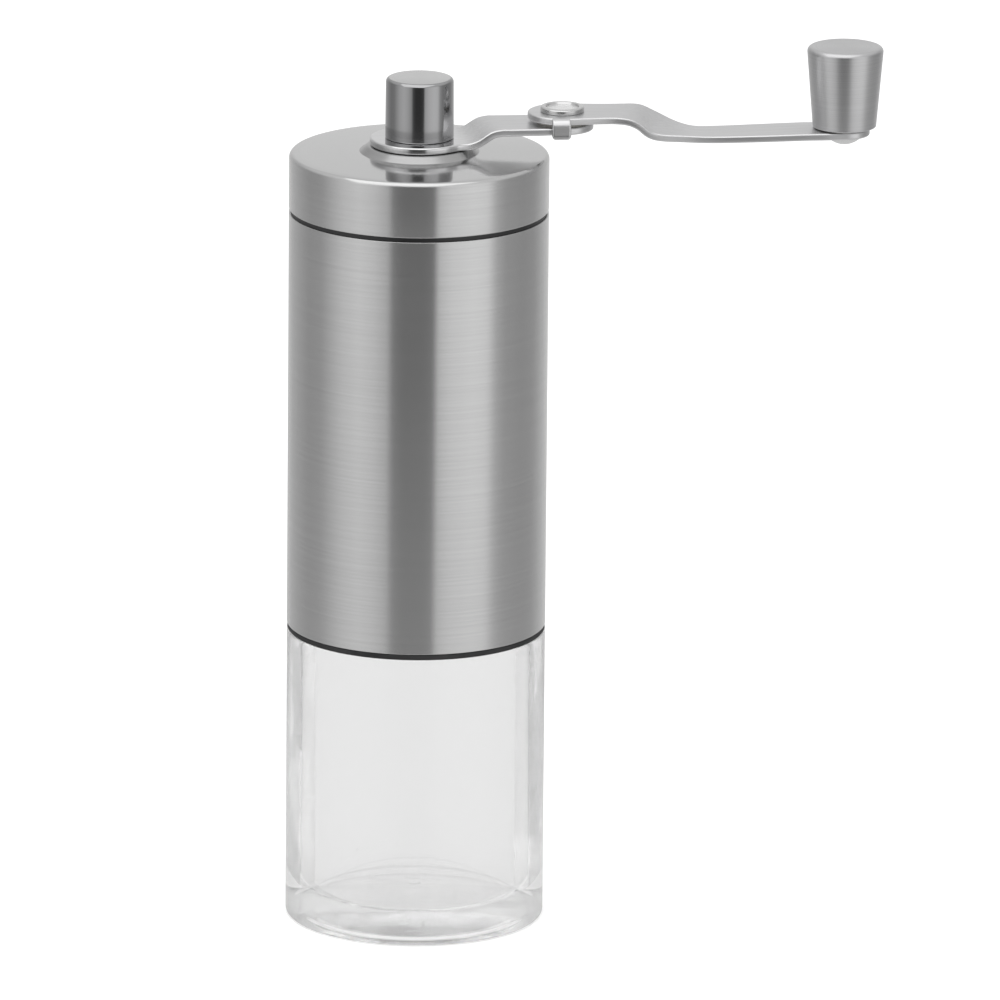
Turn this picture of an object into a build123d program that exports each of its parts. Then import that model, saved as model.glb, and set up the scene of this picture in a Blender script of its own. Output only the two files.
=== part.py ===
from build123d import *
import math
import os

os.makedirs("parts", exist_ok=True)

# Hand crank coffee grinder: a clear jar, a steel tube with a conical burr set and a bean
# hopper in it, a push-on lid, and a crank whose arm folds. Millimetres, +Z up, origin at
# the centre of the jar's foot, crank along +X.

# ------------------------------------------------------------------ driving sizes
# jar, tube and lid
body_radius = 27.0
jar_height = 61.8
jar_wall = 3.0
jar_floor = 6.0
jar_floor_fillet = 3.5
foot_depth = 0.6
foot_width = 5.5
foot_chamfer = 0.5
neck_height = 8.2
neck_chamfer = 0.4
jar_seal_height = 1.2
jar_seal_inset = 0.1
tube_height = 88.0
tube_wall = 0.6
rim_break = 0.2
rim_gap = 0.9
rim_inset = 0.4
lid_height = 11.6
lid_wall = 0.8
lid_edge_radius = 1.0
lid_boss_radius = 12.2
lid_boss_height = 1.1
lid_boss_fillet = 0.7
lid_hole_gap = 0.4
liner_wall = 1.5
liner_sleeve_height = 5.0
liner_chamfer = 0.8
plug_depth = 5.0
plug_gap = 0.25
plug_room = 1.5
plug_wall = 1.8
plug_chamfer = 0.5
groove_lift = 1.4
groove_height = 1.3
seal_wire = 0.6

# burr set
burr_radius = 20.0
burr_height = 18.0
burr_wall = 3.0
burr_chamfer = 0.5
burr_gap = 0.55
throat_step = 2.4
fine_height = 5.5
fine_angle = 20.0
fine_teeth = 36
fine_depth = 0.9
fine_land = 0.2
fine_valley = 0.75
outer_ridges = 9
outer_ridge_depth = 1.6
outer_ridge_land = 0.18
outer_ridge_valley = 0.6
inner_ridges = 7
inner_ridge_land = 0.2
inner_ridge_valley = 0.65
inner_burr_height = 20.0
inner_burr_drop = 0.4
inner_top_radius = 7.6
key_count = 3
key_radius = 1.5
key_gap = 0.1

# carrier, spring and washers
carrier_wall = 1.9
carrier_flange = 1.4
carrier_flange_radius = 9.6
carrier_sink = 6.0
dog_count = 4
dog_circle = 7.0
dog_length = 4.8
dog_width = 3.0
dog_height = 1.6
dog_slack = 0.2
wire_radius = 0.4
coil_gap = 1.2
coil_turns = 3.0
thrust_thickness = 0.8

# shaft and its bearings
shaft_radius = 3.0
shaft_foot = 2.0
shaft_chamfer = 0.5
flat_depth = 0.6
thread_relief = 0.5
hex_relief = 0.5
hex_length = 11.4
hex_chamfer = 0.4
collar_step = 1.6
collar_height = 2.0
clip_groove = 0.4
clip_thickness = 0.9
clip_width = 2.0
clip_opening = 2.6
bush_wall = 1.5
bush_lip = 1.5
bush_flange = 1.0
boss_wall = 1.8
boss_rise = 2.0
bridge_lift = 4.0
bridge_height = 6.0
bridge_width = 3.2
guide_rim = 1.6
guide_rim_chamfer = 1.0
guide_boss_rise = 0.5
guide_ridge_drop = 0.6

# burr housing
housing_wall = 1.5
skirt_wall = 1.2
funnel_angle = 40.0
funnel_lip = 0.8
rib_count = 6
rib_width = 1.2
retainer_thickness = 2.5
retainer_lift = 1.0
retainer_gap = 0.2
retainer_clear = 0.9
screw_radius = 1.2
screw_head_radius = 1.9
screw_head_height = 0.75
screw_length = 8.0
screw_point = 0.7

# adjuster
adjuster_radius = 11.0
adjuster_height = 5.5
scallop_count = 12
scallop_radius = 2.4
scallop_offset = 1.6
insert_wall = 1.5
insert_chamfer = 0.4
wheel_hub_wall = 1.4
wheel_rim_wall = 2.6
wheel_pocket = 3.5
spoke_count = 6
spoke_width = 1.0
spoke_sink = 0.8
plate_thickness = 0.8
plate_radius = 8.5
plate_gap = 0.4
dimple_count = 12
dimple_circle = 6.6
dimple_radius = 0.8
dimple_depth = 0.3

# crank
strip = 1.5
hub_lift = 1.9
hub_radius = 10.3
spigot_step = 0.6
cap_radius = 7.14
cap_top_radius = 7.04
cap_height = 12.7
cap_fillet = 0.9
cap_chamfer = 0.3
cap_groove_lift = 1.3
cap_groove_height = 0.3
cap_groove_depth = 0.2
socket_room = 0.4
rivet_x = 29.7
crank_radius = 88.65
inner_arm_rise = 2.84
inner_bend_run = 5.0
inner_bend_radius = 3.0
inner_arm_width = 13.8
inner_end_radius = 6.5
outer_end_radius = 7.2
outer_arm_width = 12.4
outer_tip_width = 11.0
outer_tip_radius = 5.3
outer_arm_drop = 4.9
outer_tip_lift = 0.45
near_bend = 14.3
near_bend_run = 5.0
near_bend_radius = 3.5
far_bend = 16.8
far_bend_run = 9.8
far_bend_radius = 8.0
tip_bend_radius = 60.0
shoulder_x = 9.0
waist_start = 16.0
waist_end = 28.0
tip_neck = 5.0
washer_thickness = 0.6
fold_washer_radius = 5.2
rivet_radius = 2.4
rivet_foot_radius = 3.8
rivet_foot_height = 0.9
rivet_foot_bevel = 1.0
rivet_head_radius = 4.55
rivet_rim_height = 0.45
rivet_crown_radius = 3.1
rivet_crown_height = 1.1
rivet_crown_bulge = 0.12
rivet_dish_radius = 2.4
rivet_dish_height = 0.55
tab_width = 3.9
tab_height = 4.6
tab_gap = 0.25
tab_corner = 0.8
tab_bend = 1.2

# knob
knob_radius = 8.1
knob_base_radius = 6.6
knob_height = 17.0
knob_lift = 0.3
knob_fillet = 1.0
knob_chamfer = 0.3
knob_crown = 6.0
knob_washer_radius = 5.0
pin_radius = 2.5
pin_head_radius = 3.45
pin_head_height = 2.0
snap_ridge = 0.4
snap_rise = 0.5
snap_height = 2.0
sleeve_radius = 4.0
sleeve_room = 0.6

# clearances
press = 0.02
running = 0.05
slip = 0.08
face = 0.05

# how far a rib or a spoke runs into the wall that it grows from
merge = 0.3

# ------------------------------------------------------------------ heights, upwards
neck_top = jar_height + neck_height
tube_bottom = jar_height + jar_seal_height
tube_top = tube_bottom + tube_height
retainer_bottom = neck_top + retainer_lift
burr_bottom = retainer_bottom + retainer_thickness
burr_top = burr_bottom + burr_height
fine_top = burr_bottom + fine_height
throat_z = burr_top + housing_wall
inner_bottom = burr_bottom + inner_burr_drop
inner_top = inner_bottom + inner_burr_height
bridge_bottom = throat_z + bridge_lift
boss_top = bridge_bottom + bridge_height + boss_rise
lid_bottom = tube_top + rim_gap
lid_top = lid_bottom + lid_height
collar_top = lid_top + hub_lift - face
hub_bottom = lid_top + hub_lift
hub_top = hub_bottom + strip
inner_arm_top = hub_top + inner_arm_rise
outer_arm_top = inner_arm_top + 2 * face + washer_thickness + strip
outer_low_top = outer_arm_top - outer_arm_drop
tip_top = outer_low_top + outer_tip_lift
knob_base = tip_top + knob_lift

# ------------------------------------------------------------------ radii, inwards
tube_inner = body_radius - tube_wall
housing_radius = tube_inner - press
skirt_inner = housing_radius - skirt_wall
neck_radius = skirt_inner - slip
jar_inner = body_radius - jar_wall
pocket_radius = burr_radius + slip
pocket_outer = pocket_radius + housing_wall
retainer_radius = skirt_inner - retainer_gap
screw_circle = (pocket_radius + skirt_inner) / 2
burr_mouth = burr_radius - burr_wall
throat_radius = burr_mouth - throat_step
shaft_flat = shaft_radius - flat_depth
thread_radius = shaft_radius - thread_relief
hex_flat = shaft_radius - hex_relief
collar_radius = shaft_radius + collar_step
lid_hole_radius = collar_radius + lid_hole_gap
spigot_radius = collar_radius + spigot_step
bush_bore = shaft_radius + running
bush_radius = shaft_radius + bush_wall
bush_flange_radius = bush_radius + bush_lip
boss_radius = bush_radius + boss_wall
insert_radius = thread_radius + insert_wall
fine_slope = math.tan(math.radians(fine_angle))
funnel_slope = math.tan(math.radians(funnel_angle))
funnel_edge = housing_radius - funnel_lip
funnel_rim = throat_z + (funnel_edge - throat_radius) * funnel_slope
arm_root = bush_radius + boss_wall / 2

# three bridge arms and three screws, spaced between each other
bridge_angles = [90, 210, 330]
screw_angles = [30, 150, 270]


def band(inner, outer, low, high, mode=Mode.ADD):
    """A rectangle of a half section, from one radius and height to another."""
    Polygon((inner, low), (outer, low), (outer, high), (inner, high), align=None, mode=mode)


def corner(section, across, up):
    """The corner of a half section nearest to a radius and a height."""
    return section.vertices().sort_by_distance((across, up, 0))[0]


def polar(radius, angle):
    """A point at a radius and an angle in degrees about the grinder's axis."""
    return (radius * math.cos(math.radians(angle)), radius * math.sin(math.radians(angle)))


def through_axis(angle):
    """A section plane through the grinder's axis, at an angle."""
    across = Vector(1, 0, 0).rotate(Axis.Z, angle)
    return Plane(origin=(0, 0, 0), x_dir=across, z_dir=Vector(0, -1, 0).rotate(Axis.Z, angle))


def facing_out(angle, distance):
    """A plane that looks away from the grinder's axis, with its own Y upwards."""
    outwards = Vector(1, 0, 0).rotate(Axis.Z, angle)
    sideways = Vector(0, 1, 0).rotate(Axis.Z, angle)
    return Plane(origin=outwards * distance, x_dir=sideways, z_dir=outwards)


def upright(x):
    """A section plane through a vertical axis that stands at x."""
    return Plane(origin=(x, 0, 0), x_dir=(1, 0, 0), z_dir=(0, -1, 0))


def toothed_outline(teeth, tip, root, turn, land, valley):
    """A ring of saw teeth: each has a land at the tip radius and a valley at the root radius."""
    points = []
    for tooth in range(teeth):
        pitch = 360 / teeth
        start = turn + tooth * pitch
        points.append(polar(tip, start))
        points.append(polar(tip, start + land * pitch))
        points.append(polar(root, start + valley * pitch))
    Polygon(*points, align=None)


def bridge_section(width, low, high):
    """An arm of a bridge, seen end on: upright sides and a ridged top that sheds beans."""
    half = width / 2
    Polygon((-half, low), (half, low), (half, high - half), (0, high), (-half, high - half), align=None)


# ------------------------------------------------------------------ catch jar
# Thick clear moulding with a heavy floor; its neck pushes up into the burr housing.
with BuildPart() as jar:
    foot_inner = body_radius - foot_width
    with BuildSketch(Plane.XZ) as jar_section:
        Polygon(
            (0, foot_depth),
            (foot_inner, foot_depth),
            (foot_inner + foot_depth, 0),
            (body_radius, 0),
            (body_radius, jar_height),
            (neck_radius, jar_height),
            (neck_radius, neck_top),
            (jar_inner, neck_top),
            (jar_inner, jar_floor),
            (0, jar_floor),
            align=None,
        )
        fillet(corner(jar_section, jar_inner, jar_floor), jar_floor_fillet)
        chamfer(corner(jar_section, body_radius, 0), foot_chamfer)
        chamfer(corner(jar_section, neck_radius, neck_top), neck_chamfer)
    revolve(axis=Axis.Z)
jar.part.label = "jar"
export_step(jar.part, "parts/jar.step")

# Flat rubber ring on the jar's shoulder, squeezed by the tube's lower edge.
with BuildPart() as jar_seal:
    with BuildSketch(Plane.XZ):
        band(neck_radius + press, body_radius - jar_seal_inset, jar_height, tube_bottom - face)
    revolve(axis=Axis.Z)
jar_seal.part.label = "jar_seal"
export_step(jar_seal.part, "parts/jar_seal.step")

# ------------------------------------------------------------------ body tube
# Brushed steel tube, open at both ends, with its outer edges broken.
with BuildPart() as body_tube:
    with BuildSketch(Plane.XZ) as tube_section:
        band(tube_inner, body_radius, tube_bottom, tube_top)
        chamfer(corner(tube_section, body_radius, tube_bottom), rim_break)
        chamfer(corner(tube_section, body_radius, tube_top), rim_break)
    revolve(axis=Axis.Z)
body_tube.part.label = "body_tube"
export_step(body_tube.part, "parts/body_tube.step")


# ------------------------------------------------------------------ burr housing
# Moulded plastic: a skirt for the jar's neck, a pocket for the outer burr, a funnel that
# leads the beans to it, and a three-armed bridge that carries the lower bush.
def under_funnel(radius):
    """Height of the funnel's underside at a radius."""
    drop = housing_wall / math.cos(math.radians(funnel_angle))
    return throat_z + (radius - throat_radius) * funnel_slope - drop


with BuildPart() as burr_housing:
    with BuildSketch(Plane.XZ) as housing_section:
        Polygon(
            (skirt_inner, tube_bottom + face),
            (housing_radius, tube_bottom + face),
            (housing_radius, funnel_rim),
            (funnel_edge, funnel_rim),
            (throat_radius, throat_z),
            (throat_radius, burr_top + face),
            (pocket_radius, burr_top + face),
            (pocket_radius, burr_bottom),
            (pocket_outer, burr_bottom),
            (pocket_outer, under_funnel(pocket_outer)),
            (skirt_inner, under_funnel(skirt_inner)),
            align=None,
        )
    revolve(axis=Axis.Z)
    # radial ribs that follow the funnel's underside between the pocket and the skirt
    rib_inner = pocket_outer - merge
    rib_outer = skirt_inner + merge
    for rib in range(rib_count):
        with BuildSketch(through_axis(rib * 360 / rib_count)):
            Polygon(
                (rib_inner, burr_bottom),
                (rib_outer, burr_bottom),
                (rib_outer, under_funnel(rib_outer) + merge),
                (rib_inner, under_funnel(rib_inner) + merge),
                align=None,
            )
        extrude(amount=rib_width / 2, both=True)
    # bosses for the retainer's screws, and keys that stop the outer burr from turning
    with BuildSketch(Plane.XY.offset(burr_bottom)):
        with PolarLocations(screw_circle, 3, start_angle=screw_angles[0]):
            Circle((skirt_inner - pocket_radius) / 2)
    extrude(amount=screw_length + 1.0)
    with BuildSketch(Plane.XY.offset(burr_bottom)):
        with PolarLocations(pocket_radius, key_count, start_angle=bridge_angles[0]):
            Circle(key_radius)
    extrude(amount=burr_height)
    # bridge with its central boss
    for angle in bridge_angles:
        with BuildSketch(facing_out(angle, arm_root)):
            bridge_section(bridge_width, bridge_bottom, bridge_bottom + bridge_height)
        extrude(amount=funnel_edge - arm_root)
    with BuildSketch(Plane.XY.offset(bridge_bottom)):
        Circle(boss_radius)
    extrude(amount=boss_top - bridge_bottom)
    with BuildSketch(Plane.XY.offset(bridge_bottom)):
        Circle(bush_radius + press)
    extrude(amount=boss_top - bridge_bottom, mode=Mode.SUBTRACT)
    with BuildSketch(Plane.XY.offset(burr_bottom)):
        with PolarLocations(screw_circle, 3, start_angle=screw_angles[0]):
            Circle(screw_radius + press)
    extrude(amount=screw_length, mode=Mode.SUBTRACT)
burr_housing.part.label = "burr_housing"
export_step(burr_housing.part, "parts/burr_housing.step")

# Turned ring that clamps the outer burr up into its pocket.
with BuildPart() as burr_retainer:
    with BuildSketch(Plane.XZ):
        band(burr_mouth + retainer_clear, retainer_radius, retainer_bottom, burr_bottom - face)
    revolve(axis=Axis.Z)
    with Locations(Plane(origin=(0, 0, retainer_bottom), x_dir=(1, 0, 0), z_dir=(0, 0, -1))):
        with PolarLocations(screw_circle, 3, start_angle=-screw_angles[0]):
            CounterSinkHole(radius=screw_radius + slip, counter_sink_radius=screw_head_radius + 2 * slip)
burr_retainer.part.label = "burr_retainer"
export_step(burr_retainer.part, "parts/burr_retainer.step")

# Three countersunk screws, driven up through the retainer into the housing's bosses.
with BuildPart() as retainer_screws:
    screw_end = burr_bottom + screw_length - merge
    for angle in screw_angles:
        x, y = polar(screw_circle, angle)
        with BuildSketch(Plane(origin=(x, y, 0), x_dir=(1, 0, 0), z_dir=(0, -1, 0))):
            Polygon(
                (0, retainer_bottom + face),
                (screw_head_radius, retainer_bottom + face),
                (screw_radius, retainer_bottom + face + screw_head_height),
                (screw_radius, screw_end - screw_point),
                (0, screw_end),
                align=None,
            )
        revolve(axis=Axis((x, y, 0), (0, 0, 1)))
retainer_screws.part.label = "retainer_screws"
export_step(retainer_screws.part, "parts/retainer_screws.step")

# ------------------------------------------------------------------ burr set
# Outer burr: a ceramic ring whose cavity narrows downwards in coarse ridges and then opens
# again in fine teeth. The fine teeth lie along a cone that is parallel to the inner burr's.
fine_throat = burr_mouth - fine_height * fine_slope
# height above the fine teeth as a share, narrowing, and twist in degrees
outer_ridge_levels = [(0.0, 0.0, 0), (0.5, 0.9, 9), (1.0, 1.6, 18)]
with BuildPart() as outer_burr:
    with BuildSketch(Plane.XZ) as ring_section:
        band(fine_throat - throat_step, burr_radius, burr_bottom, burr_top)
        chamfer(corner(ring_section, burr_radius, burr_bottom), burr_chamfer)
        chamfer(corner(ring_section, burr_radius, burr_top), burr_chamfer)
    revolve(axis=Axis.Z)
    # fine teeth at the bottom; their depth shrinks with their radius, so their flanks are flat
    for height, radius in [(burr_bottom, burr_mouth), (fine_top, fine_throat)]:
        with BuildSketch(Plane.XY.offset(height)):
            root = radius * (1 + fine_depth / burr_mouth)
            toothed_outline(fine_teeth, radius, root, 0, fine_land, fine_valley)
    loft(ruled=True, mode=Mode.SUBTRACT)
    # coarse ridges above them, which draw the beans in
    for share, narrowing, twist in outer_ridge_levels:
        with BuildSketch(Plane.XY.offset(fine_top + share * (burr_top - fine_top))):
            tip = fine_throat - narrowing
            root = tip + outer_ridge_depth
            toothed_outline(outer_ridges, tip, root, twist, outer_ridge_land, outer_ridge_valley)
    loft(ruled=True, mode=Mode.SUBTRACT)
    # notches for the housing's keys
    with BuildSketch(Plane.XY.offset(burr_bottom)):
        with PolarLocations(pocket_radius, key_count, start_angle=bridge_angles[0]):
            Circle(key_radius + key_gap)
    extrude(amount=burr_height, mode=Mode.SUBTRACT)
outer_burr.part.label = "outer_burr"
export_step(outer_burr.part, "parts/outer_burr.step")

# Inner burr: a ceramic cone with seven spiral ridges over a skirt of fine teeth.
carrier_radius = shaft_radius + carrier_wall
inner_mouth = burr_mouth - burr_gap - inner_burr_drop * fine_slope
inner_throat = burr_mouth - burr_gap - fine_height * fine_slope
ridge_low = inner_throat - slip
ridge_middle = (ridge_low + inner_top_radius) / 2 + 0.5
# height above the fine teeth as a share, radius, depth, and twist in degrees
inner_ridge_levels = [
    (0.0, ridge_low, 2.4, 0),
    (0.5, ridge_middle, 2.6, -18),
    (1.0, inner_top_radius, 1.4, -36),
]
with BuildPart() as inner_burr:
    for height, radius in [(inner_bottom, inner_mouth), (fine_top, inner_throat)]:
        with BuildSketch(Plane.XY.offset(height)):
            root = radius * (1 - fine_depth / inner_mouth)
            toothed_outline(fine_teeth, radius, root, 0, fine_land, fine_valley)
    loft(ruled=True)
    for share, tip, depth, twist in inner_ridge_levels:
        with BuildSketch(Plane.XY.offset(fine_top + share * (inner_top - fine_top))):
            toothed_outline(inner_ridges, tip, tip - depth, twist, inner_ridge_land, inner_ridge_valley)
    loft(ruled=True)
    # bore for the carrier, and slots for its drive dogs
    with BuildSketch(Plane.XY.offset(inner_bottom)):
        Circle(carrier_radius + press)
    extrude(amount=inner_burr_height, mode=Mode.SUBTRACT)
    with BuildSketch(Plane.XY.offset(inner_bottom)):
        with PolarLocations(dog_circle, dog_count):
            Rectangle(dog_length + 2 * dog_slack, dog_width + dog_slack)
    extrude(amount=dog_height + dog_slack, mode=Mode.SUBTRACT)
inner_burr.part.label = "inner_burr"
export_step(inner_burr.part, "parts/inner_burr.step")

# Carrier: slides on the shaft's flats and turns the inner burr by four dogs.
carrier_bottom = inner_bottom - carrier_flange
carrier_top = inner_top - carrier_sink
with BuildPart() as burr_carrier:
    with BuildSketch(Plane.XZ):
        band(0, carrier_flange_radius, carrier_bottom, inner_bottom - press)
        band(0, carrier_radius, inner_bottom - press, carrier_top)
    revolve(axis=Axis.Z)
    with BuildSketch(Plane.XY.offset(inner_bottom - press)):
        with PolarLocations(dog_circle, dog_count):
            Rectangle(dog_length, dog_width)
    extrude(amount=dog_height)
    with BuildSketch(Plane.XY.offset(carrier_bottom)):
        Circle(shaft_radius + running)
        Rectangle(4 * shaft_radius, 2 * (shaft_flat + running), mode=Mode.INTERSECT)
        Circle(thread_radius + running)
    extrude(amount=carrier_top - carrier_bottom, mode=Mode.SUBTRACT)
burr_carrier.part.label = "burr_carrier"
export_step(burr_carrier.part, "parts/burr_carrier.step")

# Spring that presses the inner burr down on its adjuster.
washer_top = bridge_bottom - face
washer_bottom = washer_top - thrust_thickness
with BuildPart() as burr_spring:
    with BuildLine() as coil:
        coil_height = washer_bottom - carrier_top - 2 * wire_radius - 2 * face
        Helix(
            pitch=coil_height / coil_turns,
            height=coil_height,
            radius=shaft_radius + coil_gap,
            center=(0, 0, carrier_top + wire_radius + face),
        )
    with BuildSketch(Plane(origin=coil.line @ 0, z_dir=coil.line % 0)):
        RegularPolygon(wire_radius, 6)
    sweep(is_frenet=True)
burr_spring.part.label = "burr_spring"
export_step(burr_spring.part, "parts/burr_spring.step")

# ------------------------------------------------------------------ shaft and bearings
# One turned rod: threaded foot, two flats for the carrier, round journals, a collar that
# the crank rests on, and a hexagonal end that fits the crank's socket.
flats_bottom = carrier_bottom + shaft_chamfer + 1.0
clip_bottom = boss_top + bush_flange + face
flat_cut = 2 * flat_depth
clip_seat = shaft_radius - clip_groove
with BuildPart() as drive_shaft:
    shaft_bottom = carrier_bottom - adjuster_height - shaft_foot
    with BuildSketch(Plane.XZ) as shaft_section:
        band(0, thread_radius, shaft_bottom, flats_bottom)
        band(0, shaft_radius, flats_bottom, collar_top)
        band(0, collar_radius, collar_top - collar_height, collar_top)
        band(clip_seat, shaft_radius, clip_bottom, clip_bottom + clip_thickness, mode=Mode.SUBTRACT)
        chamfer(corner(shaft_section, thread_radius, shaft_bottom), shaft_chamfer)
    revolve(axis=Axis.Z)
    with BuildSketch(Plane.XY.offset(flats_bottom)):
        with Locations((0, shaft_flat + flat_cut / 2), (0, -shaft_flat - flat_cut / 2)):
            Rectangle(2 * shaft_radius, flat_cut)
    extrude(amount=washer_bottom - flats_bottom, mode=Mode.SUBTRACT)
    with BuildSketch(Plane.XY.offset(collar_top)):
        RegularPolygon(hex_flat, 6, major_radius=False)
    extrude(amount=hex_length)
    chamfer(drive_shaft.faces().sort_by(Axis.Z)[-1].edges(), hex_chamfer)
drive_shaft.part.label = "drive_shaft"
export_step(drive_shaft.part, "parts/drive_shaft.step")

# Snap ring that hangs the shaft on the lower bush.
with BuildPart() as shaft_clip:
    with BuildSketch(Plane.XY.offset(clip_bottom + press)):
        Circle(shaft_radius + clip_width)
        Circle(clip_seat + press, mode=Mode.SUBTRACT)
        with Locations((shaft_radius + clip_width / 2, 0)):
            Rectangle(3 * clip_width, clip_opening, mode=Mode.SUBTRACT)
    extrude(amount=clip_thickness - 2 * press)
shaft_clip.part.label = "shaft_clip"
export_step(shaft_clip.part, "parts/shaft_clip.step")

# Washer between the spring and the bridge.
with BuildPart() as thrust_washer:
    with BuildSketch(Plane.XZ):
        band(shaft_radius + press, bush_flange_radius, washer_bottom, washer_top)
    revolve(axis=Axis.Z)
thrust_washer.part.label = "thrust_washer"
export_step(thrust_washer.part, "parts/thrust_washer.step")

# Flanged bushes in the two bridges.
with BuildPart() as lower_bush:
    with BuildSketch(Plane.XZ):
        band(bush_bore, bush_radius, bridge_bottom + face, boss_top)
        band(bush_bore, bush_flange_radius, boss_top, boss_top + bush_flange)
    revolve(axis=Axis.Z)
lower_bush.part.label = "lower_bush"
export_step(lower_bush.part, "parts/lower_bush.step")

# ------------------------------------------------------------------ upper bridge
# Three-armed guide pressed into the tube under the lid; beans fall between its arms.
guide_top = tube_top - plug_depth - plug_room
guide_bottom = guide_top - bridge_height
guide_boss_top = guide_top + guide_boss_rise
with BuildPart() as upper_bridge:
    with BuildSketch(Plane.XZ) as guide_section:
        band(housing_radius - guide_rim, housing_radius, guide_bottom, guide_top)
        chamfer(corner(guide_section, housing_radius - guide_rim, guide_top), guide_rim_chamfer)
    revolve(axis=Axis.Z)
    for angle in bridge_angles:
        with BuildSketch(facing_out(angle, arm_root)):
            bridge_section(bridge_width, guide_bottom, guide_top - guide_ridge_drop)
        extrude(amount=housing_radius - guide_rim / 2 - arm_root)
    with BuildSketch(Plane.XY.offset(guide_bottom)):
        Circle(boss_radius)
    extrude(amount=guide_boss_top - guide_bottom)
    with BuildSketch(Plane.XY.offset(guide_bottom)):
        Circle(bush_radius + press)
    extrude(amount=guide_boss_top - guide_bottom, mode=Mode.SUBTRACT)
upper_bridge.part.label = "upper_bridge"
export_step(upper_bridge.part, "parts/upper_bridge.step")

with BuildPart() as upper_bush:
    with BuildSketch(Plane.XZ):
        band(bush_bore, bush_radius, guide_bottom, guide_boss_top)
        band(bush_bore, bush_flange_radius, guide_boss_top, guide_boss_top + bush_flange)
    revolve(axis=Axis.Z)
upper_bush.part.label = "upper_bush"
export_step(upper_bush.part, "parts/upper_bush.step")

# ------------------------------------------------------------------ grind adjuster
# Steel plate with click dimples, fixed under the carrier.
click_plate_bottom = carrier_bottom - press - plate_thickness
with BuildPart() as click_plate:
    with BuildSketch(Plane.XZ):
        band(thread_radius + plate_gap, plate_radius, click_plate_bottom, carrier_bottom - press)
    revolve(axis=Axis.Z)
    with BuildSketch(Plane.XY.offset(click_plate_bottom)):
        with PolarLocations(dimple_circle, dimple_count):
            RegularPolygon(dimple_radius, 4)
    extrude(amount=dimple_depth, mode=Mode.SUBTRACT)
click_plate.part.label = "click_plate"
export_step(click_plate.part, "parts/click_plate.step")

# Finger wheel with a scalloped edge, moulded round a brass nut that runs on the shaft's thread.
adjuster_top = click_plate_bottom - face
adjuster_bottom = adjuster_top - adjuster_height
pocket_inner = insert_radius + wheel_hub_wall
pocket_rim = adjuster_radius - wheel_rim_wall
with BuildPart() as adjuster_wheel:
    with BuildSketch(Plane.XY.offset(adjuster_bottom)):
        Circle(adjuster_radius)
        with PolarLocations(adjuster_radius + scallop_offset, scallop_count):
            Circle(scallop_radius, mode=Mode.SUBTRACT)
        Circle(insert_radius + press, mode=Mode.SUBTRACT)
    extrude(amount=adjuster_height)
    with BuildSketch(Plane.XZ):
        band(pocket_inner, pocket_rim, adjuster_bottom, adjuster_bottom + wheel_pocket)
    revolve(axis=Axis.Z, mode=Mode.SUBTRACT)
    with BuildSketch(Plane.XY.offset(adjuster_bottom + spoke_sink)):
        with PolarLocations((pocket_inner + pocket_rim) / 2, spoke_count, start_angle=180 / spoke_count):
            Rectangle(pocket_rim - pocket_inner + 2 * merge, spoke_width)
    extrude(amount=wheel_pocket - spoke_sink + merge)
adjuster_wheel.part.label = "adjuster_wheel"
export_step(adjuster_wheel.part, "parts/adjuster_wheel.step")

with BuildPart() as adjuster_nut:
    with BuildSketch(Plane.XZ) as nut_section:
        band(thread_radius + running, insert_radius, adjuster_bottom, adjuster_top)
        chamfer(corner(nut_section, insert_radius, adjuster_bottom), insert_chamfer)
    revolve(axis=Axis.Z)
adjuster_nut.part.label = "adjuster_nut"
export_step(adjuster_nut.part, "parts/adjuster_nut.step")

# ------------------------------------------------------------------ lid
# Drawn steel cap with a raised boss round the shaft hole.
with BuildPart() as lid:
    shell_radius = body_radius - lid_wall
    with BuildSketch(Plane.XZ) as lid_section:
        Polygon(
            (body_radius, lid_bottom),
            (body_radius, lid_top),
            (lid_boss_radius, lid_top),
            (lid_boss_radius, lid_top + lid_boss_height),
            (lid_hole_radius, lid_top + lid_boss_height),
            (lid_hole_radius, lid_top + lid_boss_height - lid_wall),
            (lid_boss_radius - lid_wall, lid_top + lid_boss_height - lid_wall),
            (lid_boss_radius - lid_wall, lid_top - lid_wall),
            (shell_radius, lid_top - lid_wall),
            (shell_radius, lid_bottom),
            align=None,
        )
        fillet(corner(lid_section, body_radius, lid_top), lid_edge_radius)
        fillet(corner(lid_section, lid_boss_radius, lid_top + lid_boss_height), lid_boss_fillet)
        chamfer(corner(lid_section, body_radius, lid_bottom), rim_break)
    revolve(axis=Axis.Z)
lid.part.label = "lid"
export_step(lid.part, "parts/lid.step")

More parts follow.
